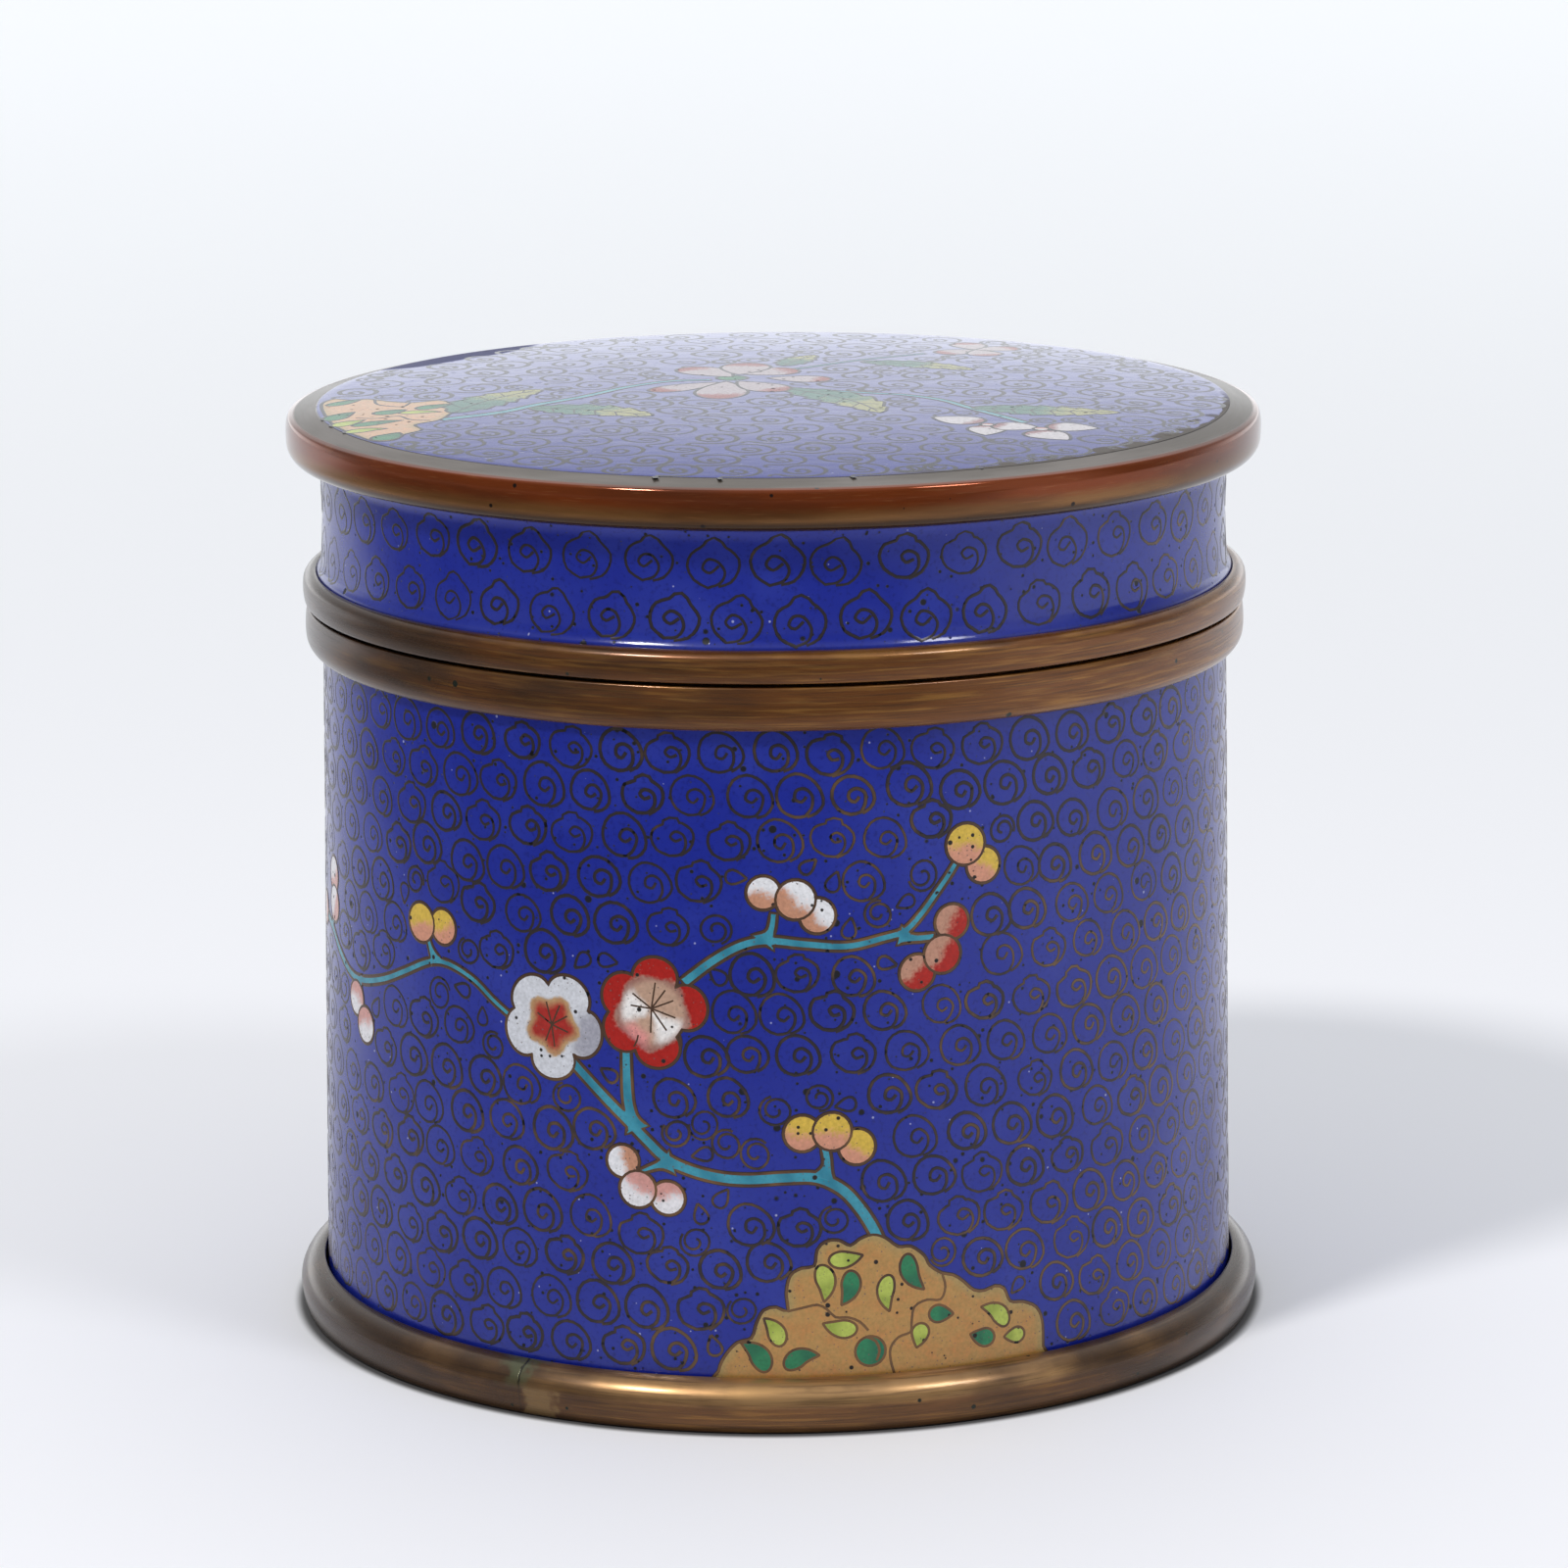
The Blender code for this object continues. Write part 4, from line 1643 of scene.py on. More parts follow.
def show(name: str, mesh: Mesh, finishes: Sequence[Material], slot: str, *stands_for: str) -> None:
    """Adds a finished piece to the scene and ties it to the frame.

    Args:
        name: the piece's name.
        mesh: its mesh, in place.
        finishes: its materials, in the order of its zones.
        slot: the record's material slot; not used.
        *stands_for: the nodes that it replaces.
    """
    mesh.materials.clear()
    for finish in finishes:
        mesh.materials.append(finish)
    piece = put(name, mesh)
    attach(piece, BODY)
    if stands_for:
        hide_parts(*stands_for)
    LOG.info("%s: %d faces", name, len(mesh.polygons))


@dataclass
class Moulding:
    """A turned metal moulding, with its sizes in mm.

    Attributes:
        ease: the rounding of its edges.
        tuck: how far its inner points reach towards the wall, to close the soldered gap.
        crown: how far its outer face falls back at its edges.
        hooked: whether its innermost stretch hooks under the wall and so stays where it is.
    """

    node: str
    name: str
    ease: float = 0.22
    tuck: float = 0.33
    crown: float = 0.0
    hooked: bool = True
    slot: str = "aged_brass"
    spacing: float = 0.7

    def build(self, nodes: Nodes, finish: Material) -> None:
        """Makes the piece.

        Args:
            nodes: the frame's nodes.
            finish: its material.
        """
        outline = node_outline(nodes[self.node])
        inner, widest = min(r for r, _ in outline), max(r for r, _ in outline)
        low, middle = inner + 0.001 * self.hooked, inner + 0.5 * (widest - inner)
        closed = [(r - self.tuck if low <= r < middle else r, z) for r, z in outline]
        fine = eased_outline(closed, self.ease, self.spacing)
        low, high = fine[:, 1].min(), fine[:, 1].max()
        away = (fine[:, 1] - 0.5 * (low + high)) / (0.5 * (high - low))
        fine[:, 0] -= self.crown * smooth(fine[:, 0], widest - 1.2, widest - 0.2) * away ** 2
        show(self.name, turn_outline(self.name, fine), [finish], self.slot, self.node)


@dataclass
class Shell:
    """An enamelled copper shell: blue outside, from a height in mm, and turquoise inside."""

    node: str
    name: str
    outer_from: float
    wall: float = 2.0
    ease: float = 0.12
    spacing: float = 1.5

    def trace(self, nodes: Nodes, shape: Callable[[list[Point]], list[Point]] = list) -> None:
        """Reads the outline and finds its outside.

        Args:
            nodes: the frame's nodes.
            shape: changes the outline before its corners are rounded.
        """
        found = shape(node_outline(nodes[self.node]))
        self.outline = eased_outline(found, self.ease, self.spacing)
        radii, heights = self.outline.T
        self.outer = (radii > radii.max() - self.wall) & (heights >= self.outer_from)

    def build(self, palette: Palette) -> None:
        """Makes the piece."""
        mesh = turn_outline(self.name, self.outline, self.outer.astype(float), 1 - self.outer.astype(int))
        show(self.name, mesh, [palette.ground, palette.counter], "blue_enamel", self.node)


def lay_pattern(prefix: str, stock: WireStock, sheet: InlaySheet, surface: Surface,
                inlay: Material) -> None:
    """Makes a drawing's inlays and the wires round them.

    Args:
        prefix: the start of the pieces' names.
        stock: the wire.
        sheet: the drawing.
        surface: what it is wrapped on.
        inlay: the inlays' material.
    """
    inlays = wrap(sheet.mesh(f"{prefix}_inlays"), surface)
    show(f"{prefix}_inlays", inlays, [inlay], "blue_enamel")
    wires = stock.sweep(sheet.wire_paths(f"{prefix}_paths"))
    show(f"{prefix}_wires", wrap(wires, surface), [stock.metal], "aged_brass")


def lay_scrolls(name: str, stock: WireStock, ground: ScrollField, surface: Surface) -> None:
    """Makes the scroll wires of a ground, and removes the shapes that they are made from.

    Args:
        name: the piece's name.
        stock: the wire.
        ground: the field that they fill.
        surface: what they are wrapped on.
    """
    scrolls = ground.fill()
    LOG.info("%s: %d scrolls", name, len(scrolls))
    points = path_mesh(
        "scroll_points", [s.place for s in scrolls], [], turn=[math.radians(s.turn) for s in scrolls],
        size=[s.size for s in scrolls], weight=[s.weight for s in scrolls],
        shape=[s.shape for s in scrolls])
    wires = stock.sweep(points, ground.shapes.collection)
    show(name, wrap(wires, surface), [stock.metal], "aged_brass")
    ground.shapes.clear()


def front_spray() -> list[Motif]:
    """Draws the jar's front: a rock, two open flowers and five groups of buds on a branch."""
    buds = [
        *cluster(Bloom.YELLOW, (-39.6, 46.8, 2.0, -80, 22), (-36.3, 46.9, 1.8, -60, 21),
                 (18.9, 57.1, 2.05, -100, 22), (20.8, 54.9, 1.8, -120, 20),
                 (2.4, 29.5, 1.8, -110, 20), (5.3, 29.6, 1.9, -90, 22), (7.7, 28.0, 1.8, -120, 20)),
        *cluster(Bloom.WHITE, (-1.2, 53.3, 1.65, -100, 20), (1.9, 52.6, 1.95, -130, 22),
                 (4.0, 51.0, 1.75, -140, 20), (-15.2, 26.2, 1.65, 20, 20)),
        *cluster(Bloom.RED, (17.4, 49.6, 1.75, 160, 20), (16.4, 46.5, 1.9, 140, 22),
                 (13.8, 44.9, 1.8, 120, 20)),
        *cluster(Bloom.ROSE, (-13.7, 23.5, 1.85, 55, 22), (-10.7, 22.8, 1.7, 100, 20),
                 (-60.6, 47.4, 1.9, -60, 20), (-60.4, 44.4, 1.9, -40, 22), (-66.0, 42.8, 1.8, 0, 20),
                 (-52.8, 36.4, 1.8, 70, 20), (-50.6, 34.1, 1.9, 110, 22)),
    ]
    branches = [
        Branch(((-64.5, 42.5), (-61.0, 41.6), (-58.0, 40.0), (-54.4, 38.6), (-51.0, 38.6),
                (-46.5, 39.7), (-42.7, 41.2), (-38.5, 43.0), (-35.6, 43.3), (-32.2, 42.3),
                (-29.6, 40.6), (-27.6, 39.4)), (0.46, 0.3)),
        Branch(((-37.4, 43.2), (-38.1, 44.3), (-38.7, 45.6)), (0.4, 0.3), 0.5),
        Branch(((-52.2, 38.8), (-51.7, 37.2), (-51.4, 35.6)), (0.4, 0.3), 0.5),
        Branch(((-61.4, 41.6), (-61.0, 43.4)), (0.4, 0.3), 0.4),
        Branch(((-9.0, 44.3), (-6.2, 46.5), (-3.4, 48.1), (-0.8, 48.6), (3.0, 48.2), (6.9, 47.9),
                (10.3, 48.5), (12.6, 49.1), (14.3, 50.7), (15.8, 52.6), (17.2, 54.4), (18.4, 56.2)),
               (0.5, 0.33)),
        Branch(((-1.3, 48.4), (-0.5, 49.6), (-0.2, 51.3)), (0.45, 0.33), 0.9),
        Branch(((12.0, 48.7), (13.6, 48.3), (15.6, 48.3)), (0.42, 0.36), 0.6),
        Branch(((-20.4, 35.6), (-16.8, 32.2), (-14.6, 30.2), (-12.7, 28.4), (-10.9, 26.8),
                (-8.7, 25.8), (-5.8, 25.1), (-2.9, 24.9), (1.0, 25.1), (3.8, 25.0), (6.2, 23.8),
                (7.9, 21.9), (9.2, 19.8), (9.9, 18.2)), (0.5, 0.6)),
        Branch(((-13.7, 29.4), (-14.4, 31.2), (-14.7, 33.2), (-14.8, 37.6)), (0.6, 0.48), 0.7),
        Branch(((4.4, 24.9), (4.8, 26.4), (4.6, 28.0)), (0.45, 0.4), 0.9),
        Branch(((-10.2, 26.4), (-11.7, 26.0), (-13.6, 25.2)), (0.5, 0.2), 0.8),
    ]
    white = Blossom(
        (-22.7, 39.1), (133, 58, -10, -88, -162), False,
        stamens=((-0.6, 2.2), (0.9, 2.0), (1.7, 1.0), (1.8, -0.6), (-0.7, -1.7), (0.3, -2.2),
                 (-1.6, 1.0)),
        pale=(-12,),
    )
    red = Blossom(
        (-12.1, 41.2), (86, 11, -82, -147, 153), True, petal=(2.05, 2.25),
        stamens=((-2.0, 1.8), (-2.2, 0.6), (-0.2, -2.0), (0.3, 3.0), (1.3, 2.3), (2.1, 1.3),
                 (2.3, -0.4), (1.4, -1.7)),
        stamen_start=(-0.1, 0.4),
        notches=(((-1.45, -2.3), (-1.6, -2.9), (-1.9, -3.5)), ((2.6, -1.9), (2.8, -2.6), (2.8, -3.2))),
        pale=(168, -48),
    )
    rock = Rock(
        ((-5.9, 3.4), (-5.8, 5.6), (-5.2, 7.1), (-4.0, 8.5), (-2.6, 9.0), (-2.1, 10.5), (-1.4, 11.8),
         (-0.2, 12.1), (0.9, 11.7), (0.8, 13.6), (1.2, 15.3), (2.3, 16.0), (3.5, 16.2), (3.8, 17.8),
         (4.6, 18.6), (5.8, 18.7), (7.0, 18.1), (7.9, 18.7), (9.2, 19.1), (10.4, 18.7), (11.7, 17.7),
         (13.0, 17.6), (14.3, 16.6), (14.9, 15.5), (16.2, 14.6), (17.3, 14.3), (18.3, 13.6),
         (19.5, 12.5), (20.7, 12.3), (21.8, 12.6), (22.8, 12.2), (23.5, 10.8), (25.0, 10.5),
         (26.5, 9.7), (27.2, 8.2), (27.3, 5.6), (27.2, 3.4), (10.0, 3.4)),
        (((0.9, 11.7), (2.6, 12.1), (3.8, 12.3), (4.7, 11.8), (5.5, 11.0), (6.8, 10.9), (7.9, 10.4),
          (8.7, 9.5)),
         ((16.2, 14.5), (16.5, 13.2), (16.0, 12.0), (14.6, 12.1), (13.3, 11.5), (13.0, 9.8),
          (12.9, 9.0), (11.7, 8.6), (10.9, 7.6), (10.9, 6.3), (11.3, 4.8)),
         ((8.4, 8.9), (9.4, 8.4), (9.8, 7.4), (9.5, 6.4))),
    )
    tufts = [
        *grow(LeafTone.LIME, ((4.9, 16.8), (8.2, 17.1), 0.85, -0.2), ((3.9, 16.2), (4.4, 12.6), 0.95, 0.5),
              ((10.9, 14.9), (10.8, 11.3), 0.85, -0.45), ((0.1, 8.2), (-1.4, 11.0), 0.88, -0.4),
              ((7.6, 9.8), (4.3, 10.4), 0.9, 0.3), ((14.0, 9.8), (13.5, 7.4), 0.88, 0.1),
              ((23.0, 8.4), (20.3, 10.7), 0.88, -0.6), ((25.1, 7.3), (22.8, 7.3), 0.8)),
        *grow(LeafTone.GREEN, ((6.9, 15.6), (6.1, 12.2), 0.95, 0.5), ((21.7, 7.4), (19.1, 8.1), 0.92, 0.1),
              ((-1.3, 5.6), (-3.6, 8.5), 1.0, -0.6), ((0.7, 5.9), (3.9, 7.2), 0.92, 0.6),
              ((12.7, 16.9), (14.3, 13.2), 0.9, -0.6), ((14.8, 10.7), (17.3, 10.4), 0.88)),
        *cluster(Bloom.JADE, (8.9, 7.4, 1.5, 0, 45)),
    ]
    return [*branches, *buds, white, red, rock, *tufts]


def back_spray() -> list[Motif]:
    """Draws the jar's back: a plainer branch with one flower and three groups of buds."""
    buds = [
        *cluster(Bloom.WHITE, (131.2, 50.3, 1.9, -110, 22), (133.6, 48.4, 1.7, -130, 20)),
        *cluster(Bloom.YELLOW, (104.2, 44.2, 1.9, -100, 22), (101.3, 43.0, 1.7, -80, 20)),
        *cluster(Bloom.RED, (127.4, 22.2, 1.8, 150, 20), (129.9, 20.4, 1.8, 150, 22)),
    ]
    branches = [
        Branch(((116.2, 5.2), (114.6, 11.0), (116.8, 17.5), (120.4, 24.0), (119.6, 30.6)), (0.8, 0.5)),
        Branch(((119.4, 38.0), (122.4, 43.0), (126.8, 46.6), (130.6, 48.9)), (0.5, 0.35)),
        Branch(((114.6, 36.2), (109.6, 39.4), (105.4, 42.6)), (0.5, 0.35)),
        Branch(((118.4, 20.2), (122.8, 21.8), (126.2, 22.3)), (0.5, 0.35)),
    ]
    flower = Blossom(
        (118.0, 34.6), (100, 28, -44, -116, 172), False,
        stamens=((0.4, 2.3), (2.1, 0.7), (1.2, -1.8), (-1.3, -1.8), (-2.1, 0.6)),
    )
    return [*branches, *buds, flower]


def lid_spray() -> list[Motif]:
    """Draws the lid's top: a rock at the left rim, and a flowering branch across the middle."""
    rock = Rock(
        ((-45.6, -1.8), (-45.0, -6.8), (-43.8, -13.0), (-42.3, -17.4), (-40.6, -20.9),
         (-38.9, -23.8), (-37.0, -23.6), (-36.2, -20.8), (-34.6, -18.6), (-35.4, -15.6),
         (-33.2, -13.4), (-32.2, -9.6), (-31.8, -6.1), (-33.4, -1.6), (-36.4, -2.2), (-38.8, -1.0),
         (-41.0, 1.0), (-42.9, 0.9), (-44.5, 2.0), (-45.4, 0.5)),
        (((-41.6, -10.4), (-39.4, -11.2), (-37.4, -10.2), (-36.0, -12.6), (-34.0, -13.4)),
         ((-40.4, 0.6), (-39.8, -2.8), (-37.4, -4.6), (-36.6, -2.4))),
        ((206, 168, 134), (210, 156, 118)),
    )
    tufts = [
        *grow(LeafTone.GREEN, ((-44.9, -2.4), (-41.8, 1.1), 1.0), ((-39.8, -8.8), (-36.8, -6.4), 1.2),
              ((-44.2, -11.4), (-42.0, -6.8), 1.2, 0.3), ((-41.6, -15.2), (-36.8, -12.8), 1.1, 0.3),
              ((-39.0, -23.3), (-36.8, -19.6), 1.4, -0.3), ((-35.6, -6.6), (-32.4, -3.9), 1.1, 0.2)),
        *grow(LeafTone.LIME, ((-43.4, -15.0), (-40.6, -11.8), 1.1, 0.3),
              ((-42.1, -18.7), (-38.1, -17.2), 1.0, 0.4), ((-37.4, -8.5), (-33.2, -8.5), 0.9, 0.3)),
    ]
    leaves = grow(
        LeafTone.TEAL, ((-31.9, -9.4), (-23.6, 4.2), 3.3, 1.1, 6),
        ((-24.4, -7.4), (-12.0, -13.2), 3.4, 1.0, 6), ((1.1, 3.4), (10.7, -12.2), 3.2, 1.6, 6),
        ((19.9, -9.0), (34.6, -11.2), 3.2, -0.6, 7), ((9.2, 21.2), (20.8, 15.4), 2.4, 0.8, 6),
        ((1.1, 18.4), (4.4, 26.2), 2.0, 0.3, 5))
    stem = ((96, 160, 174), (76, 142, 162))
    branches = [
        Branch(((-33.0, -13.2), (-27.3, -9.8), (-23.9, -5.7), (-19.1, -0.7), (-14.9, 5.0),
                (-10.6, 8.6), (-6.4, 9.2)), (0.7, 0.4), tone=stem),
        Branch(((-0.6, 4.6), (3.4, 2.8), (10.0, 0.0), (13.4, -1.3), (17.0, -4.5), (19.6, -9.2),
                (22.3, -13.6), (24.9, -17.9)), (0.35, 0.5), tone=stem),
        Branch(((-1.0, 14.0), (3.4, 17.2), (9.0, 22.4), (16.0, 27.4)), (0.3, 0.3), tone=stem),
    ]
    petals = [
        *grow(LeafTone.RIMMED, ((-12.4, 1.9), (-5.6, 7.6), 1.9), ((-9.2, 17.8), (-4.2, 11.2), 2.5),
              ((2.6, 15.6), (-4.0, 13.2), 2.6), ((-2.4, 20.6), (-3.6, 12.6), 2.6),
              ((-5.5, -3.1), (-4.8, 8.2), 2.7), ((1.0, 1.5), (-3.6, 8.2), 2.4),
              ((6.0, 9.0), (-0.6, 10.2), 2.1)),
        *cluster(Bloom.JADE, (-4.2, 10.4, 1.6, 0, 44)),
        *grow(LeafTone.HEARTED, ((20.6, -17.9), (15.8, -14.8), 2.3), ((21.1, -19.6), (20.7, -25.0), 1.9),
              ((21.6, -19.3), (26.2, -21.0), 2.2), ((25.3, -22.5), (28.8, -27.0), 2.2),
              ((26.9, -19.7), (32.0, -20.5), 2.3)),
        *cluster(Bloom.ROSE, (21.1, -19.1, 0.7, 90, 46), (26.3, -21.2, 0.8, 90, 46)),
        *grow(LeafTone.RIMMED, ((17.4, 27.4), (21.6, 30.6), 1.9), ((20.4, 36.6), (21.4, 30.6), 1.9),
              ((26.0, 32.6), (21.4, 30.6), 1.9), ((22.8, 25.8), (21.4, 30.6), 1.9)),
    ]
    return [rock, *tufts, *leaves, *branches, *petals]


@dataclass
class Jar:
    """The jar without its lid, with its sizes in mm.

    Attributes:
        girth: the radius at which lengths round the wall are measured.
        margins: the least gap between a scroll and the foot, and the mouth.
        squeeze: how much of a scroll's radius keeps it off the foot and the mouth.
    """

    nodes: Nodes
    palette: Palette
    girth: float = 46.4
    pitch: float = 5.2
    rows: float = 4.3
    margins: Point = (0.15, 0.1)
    squeeze: float = 0.9

    def build(self) -> None:
        """Makes the jar's pieces."""
        wall = self.build_shell()
        Moulding("foot_ring", "foot_moulding", ease=0.3).build(self.nodes, self.palette.foot_brass)
        Moulding("mouth_ring", "mouth_moulding", crown=0.2).build(self.nodes, self.palette.brass)
        Moulding("inner_collar", "collar", tuck=0.0).build(self.nodes, self.palette.inner_brass)
        self.build_pattern(wall)

    def build_shell(self) -> WallSurface:
        """Makes the enamelled shell, and gives its outer wall."""
        self.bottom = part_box("foot_ring")[1].z / MM
        self.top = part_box("mouth_ring")[0].z / MM
        shell = Shell("jar_body", "jar_enamel", self.bottom - 1.0)
        shell.trace(self.nodes)
        shell.build(self.palette)
        points = shell.outline[shell.outer]
        points = points[np.argsort(points[:, 1])]
        return WallSurface(points[:, 1], points[:, 0], self.girth)

    def inside(self, spot: Point, reach: float) -> bool:
        """Tells whether a scroll keeps between the foot and the mouth.

        Args:
            spot: its place.
            reach: its radius.

        Returns:
            Whether it does.
        """
        above, below = self.margins
        reach *= self.squeeze
        return self.bottom + reach + above <= spot[1] <= self.top - reach - below

    def build_pattern(self, wall: WallSurface) -> None:
        """Makes the sprays and fills the ground round them with scrolls.

        Args:
            wall: the outer wall.
        """
        drawn = WireStock(self.palette.drawn_wire, width=0.46, rise=0.07, sink=0.0)
        sheets = {"front": InlaySheet(front_spray()), "back": InlaySheet(back_spray())}
        for prefix, sheet in sheets.items():
            lay_pattern(prefix, drawn, sheet, wall, self.palette.inlay)
        around = math.tau * self.girth
        blocked = np.vstack([sheet.obstacles() for sheet in sheets.values()])
        blocked = np.vstack([blocked, blocked - (around, 0), blocked + (around, 0)])
        inset = ScrollKind.CLOUD.value * 0.93 + 0.25
        shapes = ScrollSet(11, (ScrollShape.ROUND, ScrollShape.ROUND, ScrollShape.LOBED) * 3)
        drops = ((-3.8, 54.8), (5.6, 54.3), (7.1, 49.7), (-5.7, 45.1), (-42.4, 49.2), (-19.4, 45.7),
                 (6.6, 32.2), (-7.3, 27.3), (-7.5, 21.4))
        coils = ((-5.8, 49.6), (-0.2, 31.8), (-2.1, 27.5), (14.4, 54.4))
        fixed = [Scroll((x, y), ScrollKind.DROP, (x * 47 + y * 13) % 360, 0.95,
                        shapes.pick(ScrollKind.DROP), 0.85) for x, y in drops]
        fixed += [Scroll((x, y), ScrollKind.COIL, x * 31, 0.98,
                         shapes.pick(ScrollKind.COIL), 0.85) for x, y in coils]
        ground = ScrollField(
            shapes, self.inside, (-around / 2, self.bottom + inset), (around / 2, self.top - inset),
            self.pitch, self.rows, seed=5, wrapped=around, blocked=blocked, fixed=fixed)
        lay_scrolls("jar_scroll_wires", WireStock(self.palette.wire), ground, wall)


@dataclass
class Lid:
    """The lift-off lid, with its sizes in mm.

    Attributes:
        girth: the radius at which lengths round the band are measured.
        hollow: how far the band falls back at its middle.
        recess: how far the band stands behind the shell's widest radius.
        fillet: the reach and the depth of the band's fillets.
        wire_room: how much lower than its solid the dome is, for the wires on it.
        dark_patch_edge: how far from the axis the darker stretch of the rim starts.
    """

    nodes: Nodes
    palette: Palette
    girth: float = 46.2
    hollow: float = 0.3
    recess: float = 0.12
    fillet: Point = (1.3, 0.45)
    wire_room: float = 0.14
    dome_steps: int = 24
    dark_patch_edge: float = 43.8

    def build(self) -> None:
        """Makes the lid's pieces."""
        self.read_frame()
        shell = Shell("lid_shell", "lid_enamel", self.band_low - 0.5)
        shell.trace(self.nodes, self.shape_outline)
        shell.outer |= (shell.outline[:, 1] > self.band_high + 0.5 * (self.edge - self.band_high))
        shell.build(self.palette)
        skirt = Moulding("lid_skirt_ring", "skirt_moulding", ease=0.24, crown=0.2)
        skirt.build(self.nodes, self.palette.brass)
        top = Moulding(
            "lid_top_ring", "top_moulding", ease=0.16, tuck=0.5, hooked=False, slot="polished_copper")
        top.build(self.nodes, self.palette.copper)
        self.build_band()
        self.build_top()

    def read_frame(self) -> None:
        """Reads the lid's sizes from the frame."""
        self.band_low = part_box("lid_skirt_ring")[1].z / MM
        self.band_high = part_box("lid_top_ring")[0].z / MM
        self.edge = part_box("lid_top_ring")[1].z / MM
        self.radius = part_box("lid_shell")[1].x / MM
        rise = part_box("lid_shell")[1].z / MM - self.edge - self.wire_room
        self.dome = DomeSurface(self.radius, self.edge, rise)
        self.middle = 0.5 * (self.band_low + self.band_high)

    def band_radius(self, height: np.ndarray) -> np.ndarray:
        """Gives the hollow band's radius, with a fillet at each moulding.

        Args:
            height: the heights, in mm.

        Returns:
            The radius at each height, in mm.
        """
        half = 0.5 * (self.band_high - self.band_low)
        away = np.clip(np.abs(height - self.middle), 0, half)
        reach, depth = self.fillet
        flare = depth * np.clip((away - half + reach) / reach, 0, 1) ** 2
        return self.radius - self.hollow * (1 - (away / half) ** 2) - self.recess + flare

    def shape_outline(self, outline: list[Point]) -> list[Point]:
        """Replaces the coarse dome and band of the frame's outline by finer ones.

        Args:
            outline: the frame's outline of the lid.

        Returns:
            The finer outline.
        """
        if outline[0][1] < outline[-1][1]:
            outline = outline[::-1]
        radii = self.radius * np.linspace(0, 1, self.dome_steps)
        heights = np.linspace(self.band_high, self.band_low, 30)
        inside = [(r, z) for r, z in outline if z < self.edge - 1.0
                  and (z < self.band_low - 0.001 or r < self.radius - 1.0)]
        return [*zip(radii, self.dome.height_at(radii)), *zip(self.band_radius(heights), heights), *inside]

    def build_band(self) -> None:
        """Makes the two rows of cloud scrolls round the band."""
        heights = np.linspace(self.band_low, self.band_high, 40)
        wall = WallSurface(heights, self.band_radius(heights), self.girth)
        around = math.tau * self.girth
        shapes = ScrollSet(23, (ScrollShape.CROWNED, ScrollShape.CROWNED, ScrollShape.LOBED) * 2)
        ground = ScrollField(
            shapes, lambda spot, reach: True, (-around / 2, self.middle - 2.85),
            (around / 2, self.middle + 2.7), pitch=6.15, rows=5.5, seed=8, turn=(0.0, 9.0),
            wrapped=around, fillers=False, size=1.16)
        lay_scrolls("band_scroll_wires", WireStock(self.palette.wire, width=0.38), ground, wall)

    def inside(self, spot: Point, reach: float) -> bool:
        """Tells whether a scroll keeps within the rim and clear of its darker stretch.

        Args:
            spot: its place.
            reach: its radius.

        Returns:
            Whether it does.
        """
        towards_dark_patch = math.sin(DARK_PATCH_TURN) * spot[1] + math.cos(DARK_PATCH_TURN) * spot[0]
        within = math.hypot(*spot) + reach * 1.1 <= self.radius - 0.2
        return within and towards_dark_patch + reach <= self.dark_patch_edge

    def build_top(self) -> None:
        """Makes the lid's spray and the scrolls round it."""
        sheet = InlaySheet(lid_spray(), spacing=0.7, lift=0.004)
        drawn = WireStock(self.palette.flush_wire, width=0.44, rise=0.015, sink=0.0)
        lay_pattern("top", drawn, sheet, self.dome, self.palette.inlay)
        rim = self.radius
        ground = ScrollField(
            ScrollSet(31, (ScrollShape.TAILED,) * 6), self.inside, (-rim, -rim + 3.3), (rim, rim - 3.0),
            pitch=6.0, rows=5.3, seed=14, turn=(-60.0, 40.0), blocked=sheet.obstacles(), size=1.2)
        stock = WireStock(self.palette.flush_wire, width=0.52, rise=0.005, sink=0.001)
        lay_scrolls("top_scroll_wires", stock, ground, self.dome)


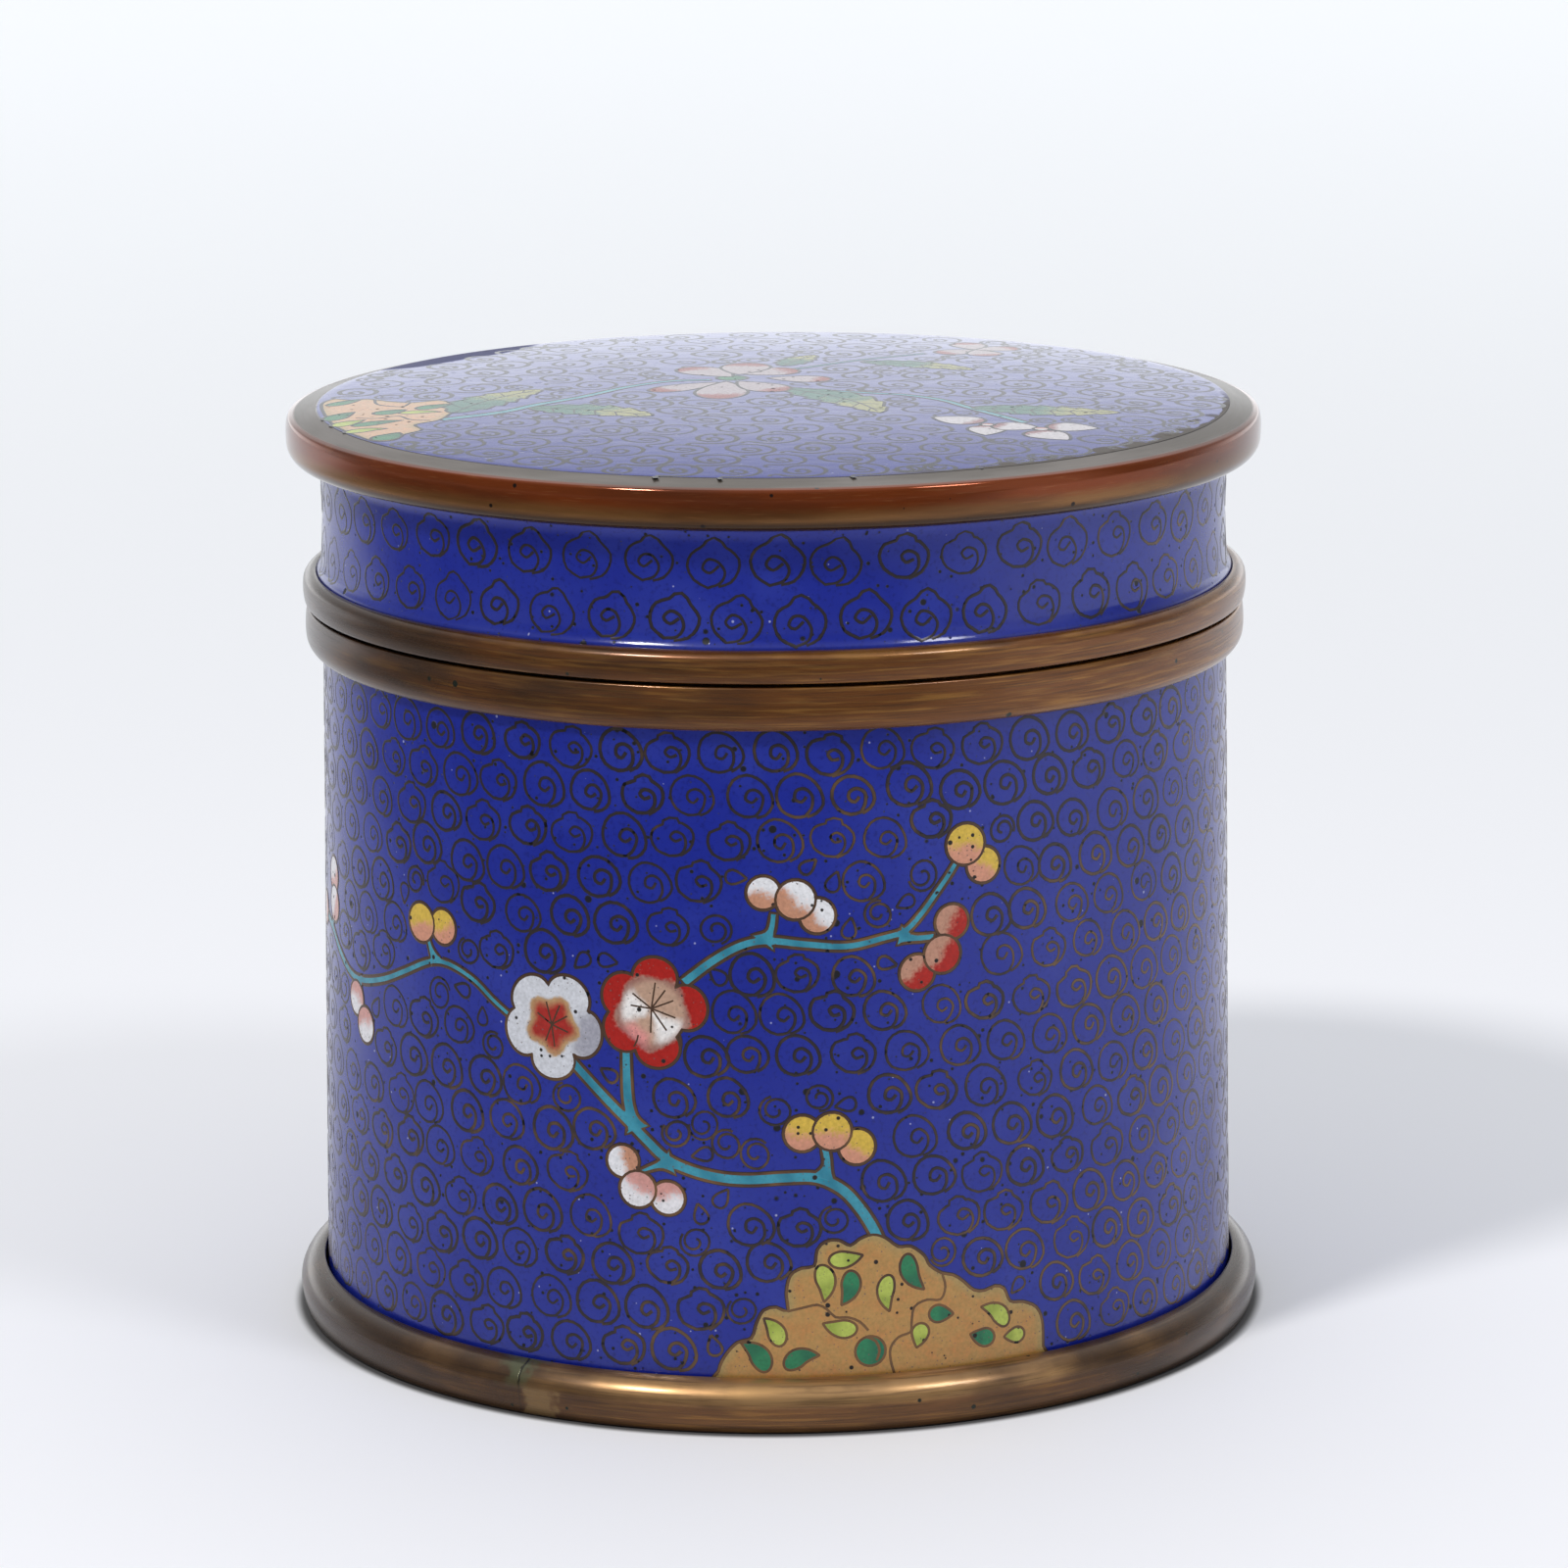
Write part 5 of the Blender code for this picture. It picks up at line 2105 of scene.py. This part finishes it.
@dataclass
class Studio:
    """The camera, the lights and the floor, in metres and degrees."""

    camera_place: Place = (0.000856, -0.651, 0.1984)
    pitch: float = 12.53
    roll: float = -0.36
    lens: float = 149.26
    aim: Place = (0.0, 0.0, 0.05)
    floor_size: float = 6.0

    def build(self) -> None:
        """Makes the camera, the lights and the floor."""
        bpy.context.scene.view_settings.view_transform = "Standard"
        self.build_camera()
        self.build_world()
        size = self.floor_size
        mesh = bpy.data.meshes.new("floor")
        corners = [(-size, -size, 0), (size, -size, 0), (size, size, 0), (-size, size, 0)]
        mesh.from_pydata(corners, [], [(0, 1, 2, 3)])
        mesh.materials.append(StudioFloor("studio_floor").make())
        floor = put("floor", mesh)
        self.light("key", (-0.66, -0.79, 1.23), 0.22, 10.4, (1.0, 0.985, 0.96))
        self.light("side", (0.72, -0.62, 1.05), 0.3, 3.4, (0.98, 0.99, 1.0))

    def build_camera(self) -> None:
        """Makes the camera at the photograph's viewing angle."""
        data = bpy.data.cameras.new("camera")
        data.lens, data.sensor_width = self.lens, 36.0
        data.clip_start, data.clip_end = 0.05, 20.0
        camera = put("camera", data)
        turn = Euler((math.radians(90 - self.pitch), 0, 0)).to_matrix().to_4x4()
        roll = Matrix.Rotation(math.radians(self.roll), 4, "Z")
        camera.matrix_world = Matrix.Translation(self.camera_place) @ turn @ roll
        bpy.context.scene.camera = camera

    def build_world(self) -> None:
        """Makes the room's soft light: white behind and above, dimmer in front."""
        world = bpy.data.worlds.new("studio_light")
        world.use_nodes = True
        tree = NodeTree(world.node_tree)
        x, y, z = tree.node("ShaderNodeTexCoord", out="Generated").axes()
        behind = y.eased(0.0, 0.9) * (1.0 - x.eased(-0.3, -0.8) * 0.5)
        low = z.eased(0.26, 0.08) * y.eased(0.3, 0.9)
        card = x.eased(0.5, 0.85) * y.eased(0.05, -0.35) * z.eased(0.75, 0.45)
        strength = (behind * (z.eased(0.35, 0.7) * 0.3 + 0.38) + low * 0.97 + card * 0.55
                    + z.eased(0.4, 0.9) * 0.5 + 0.23)
        room = {"Color": (0.95, 0.975, 1.0, 1.0), "Strength": strength}
        lit = tree.node("ShaderNodeBackground", sockets=room)
        seen = tree.node("ShaderNodeBackground", sockets={"Color": (0.92, 0.96, 1.0, 1.0)})
        ray = tree.node("ShaderNodeLightPath", out="Is Camera Ray")
        either = tree.node("ShaderNodeMixShader", sockets={0: ray, 1: lit, 2: seen})
        tree.node("ShaderNodeOutputWorld", sockets={0: either})
        bpy.context.scene.world = world

    def light(self, name: str, place: Place, size: float, power: float, tint: Place) -> None:
        """Adds a soft round lamp that faces the jar.

        Args:
            name: its name.
            place: where it is.
            size: its diameter.
            power: its power, in watts.
            tint: its colour, linear.
        """
        data = bpy.data.lights.new(name, "AREA")
        data.shape = "DISK"
        data.size, data.energy, data.color = size, power, tint
        lamp = put(name, data)
        lamp.location = place
        lamp.rotation_euler = (Vector(self.aim) - Vector(place)).to_track_quat("-Z", "Y").to_euler()


def main() -> None:
    """Loads the frame, makes the jar, the lid and the studio."""
    logging.basicConfig(level=logging.INFO, format="%(name)s: %(message)s")
    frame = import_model()
    palette = Palette()
    Studio().build()
    Jar(frame["nodes"], palette).build()
    Lid(frame["nodes"], palette).build()
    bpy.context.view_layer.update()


if __name__ == "__main__":
    main()
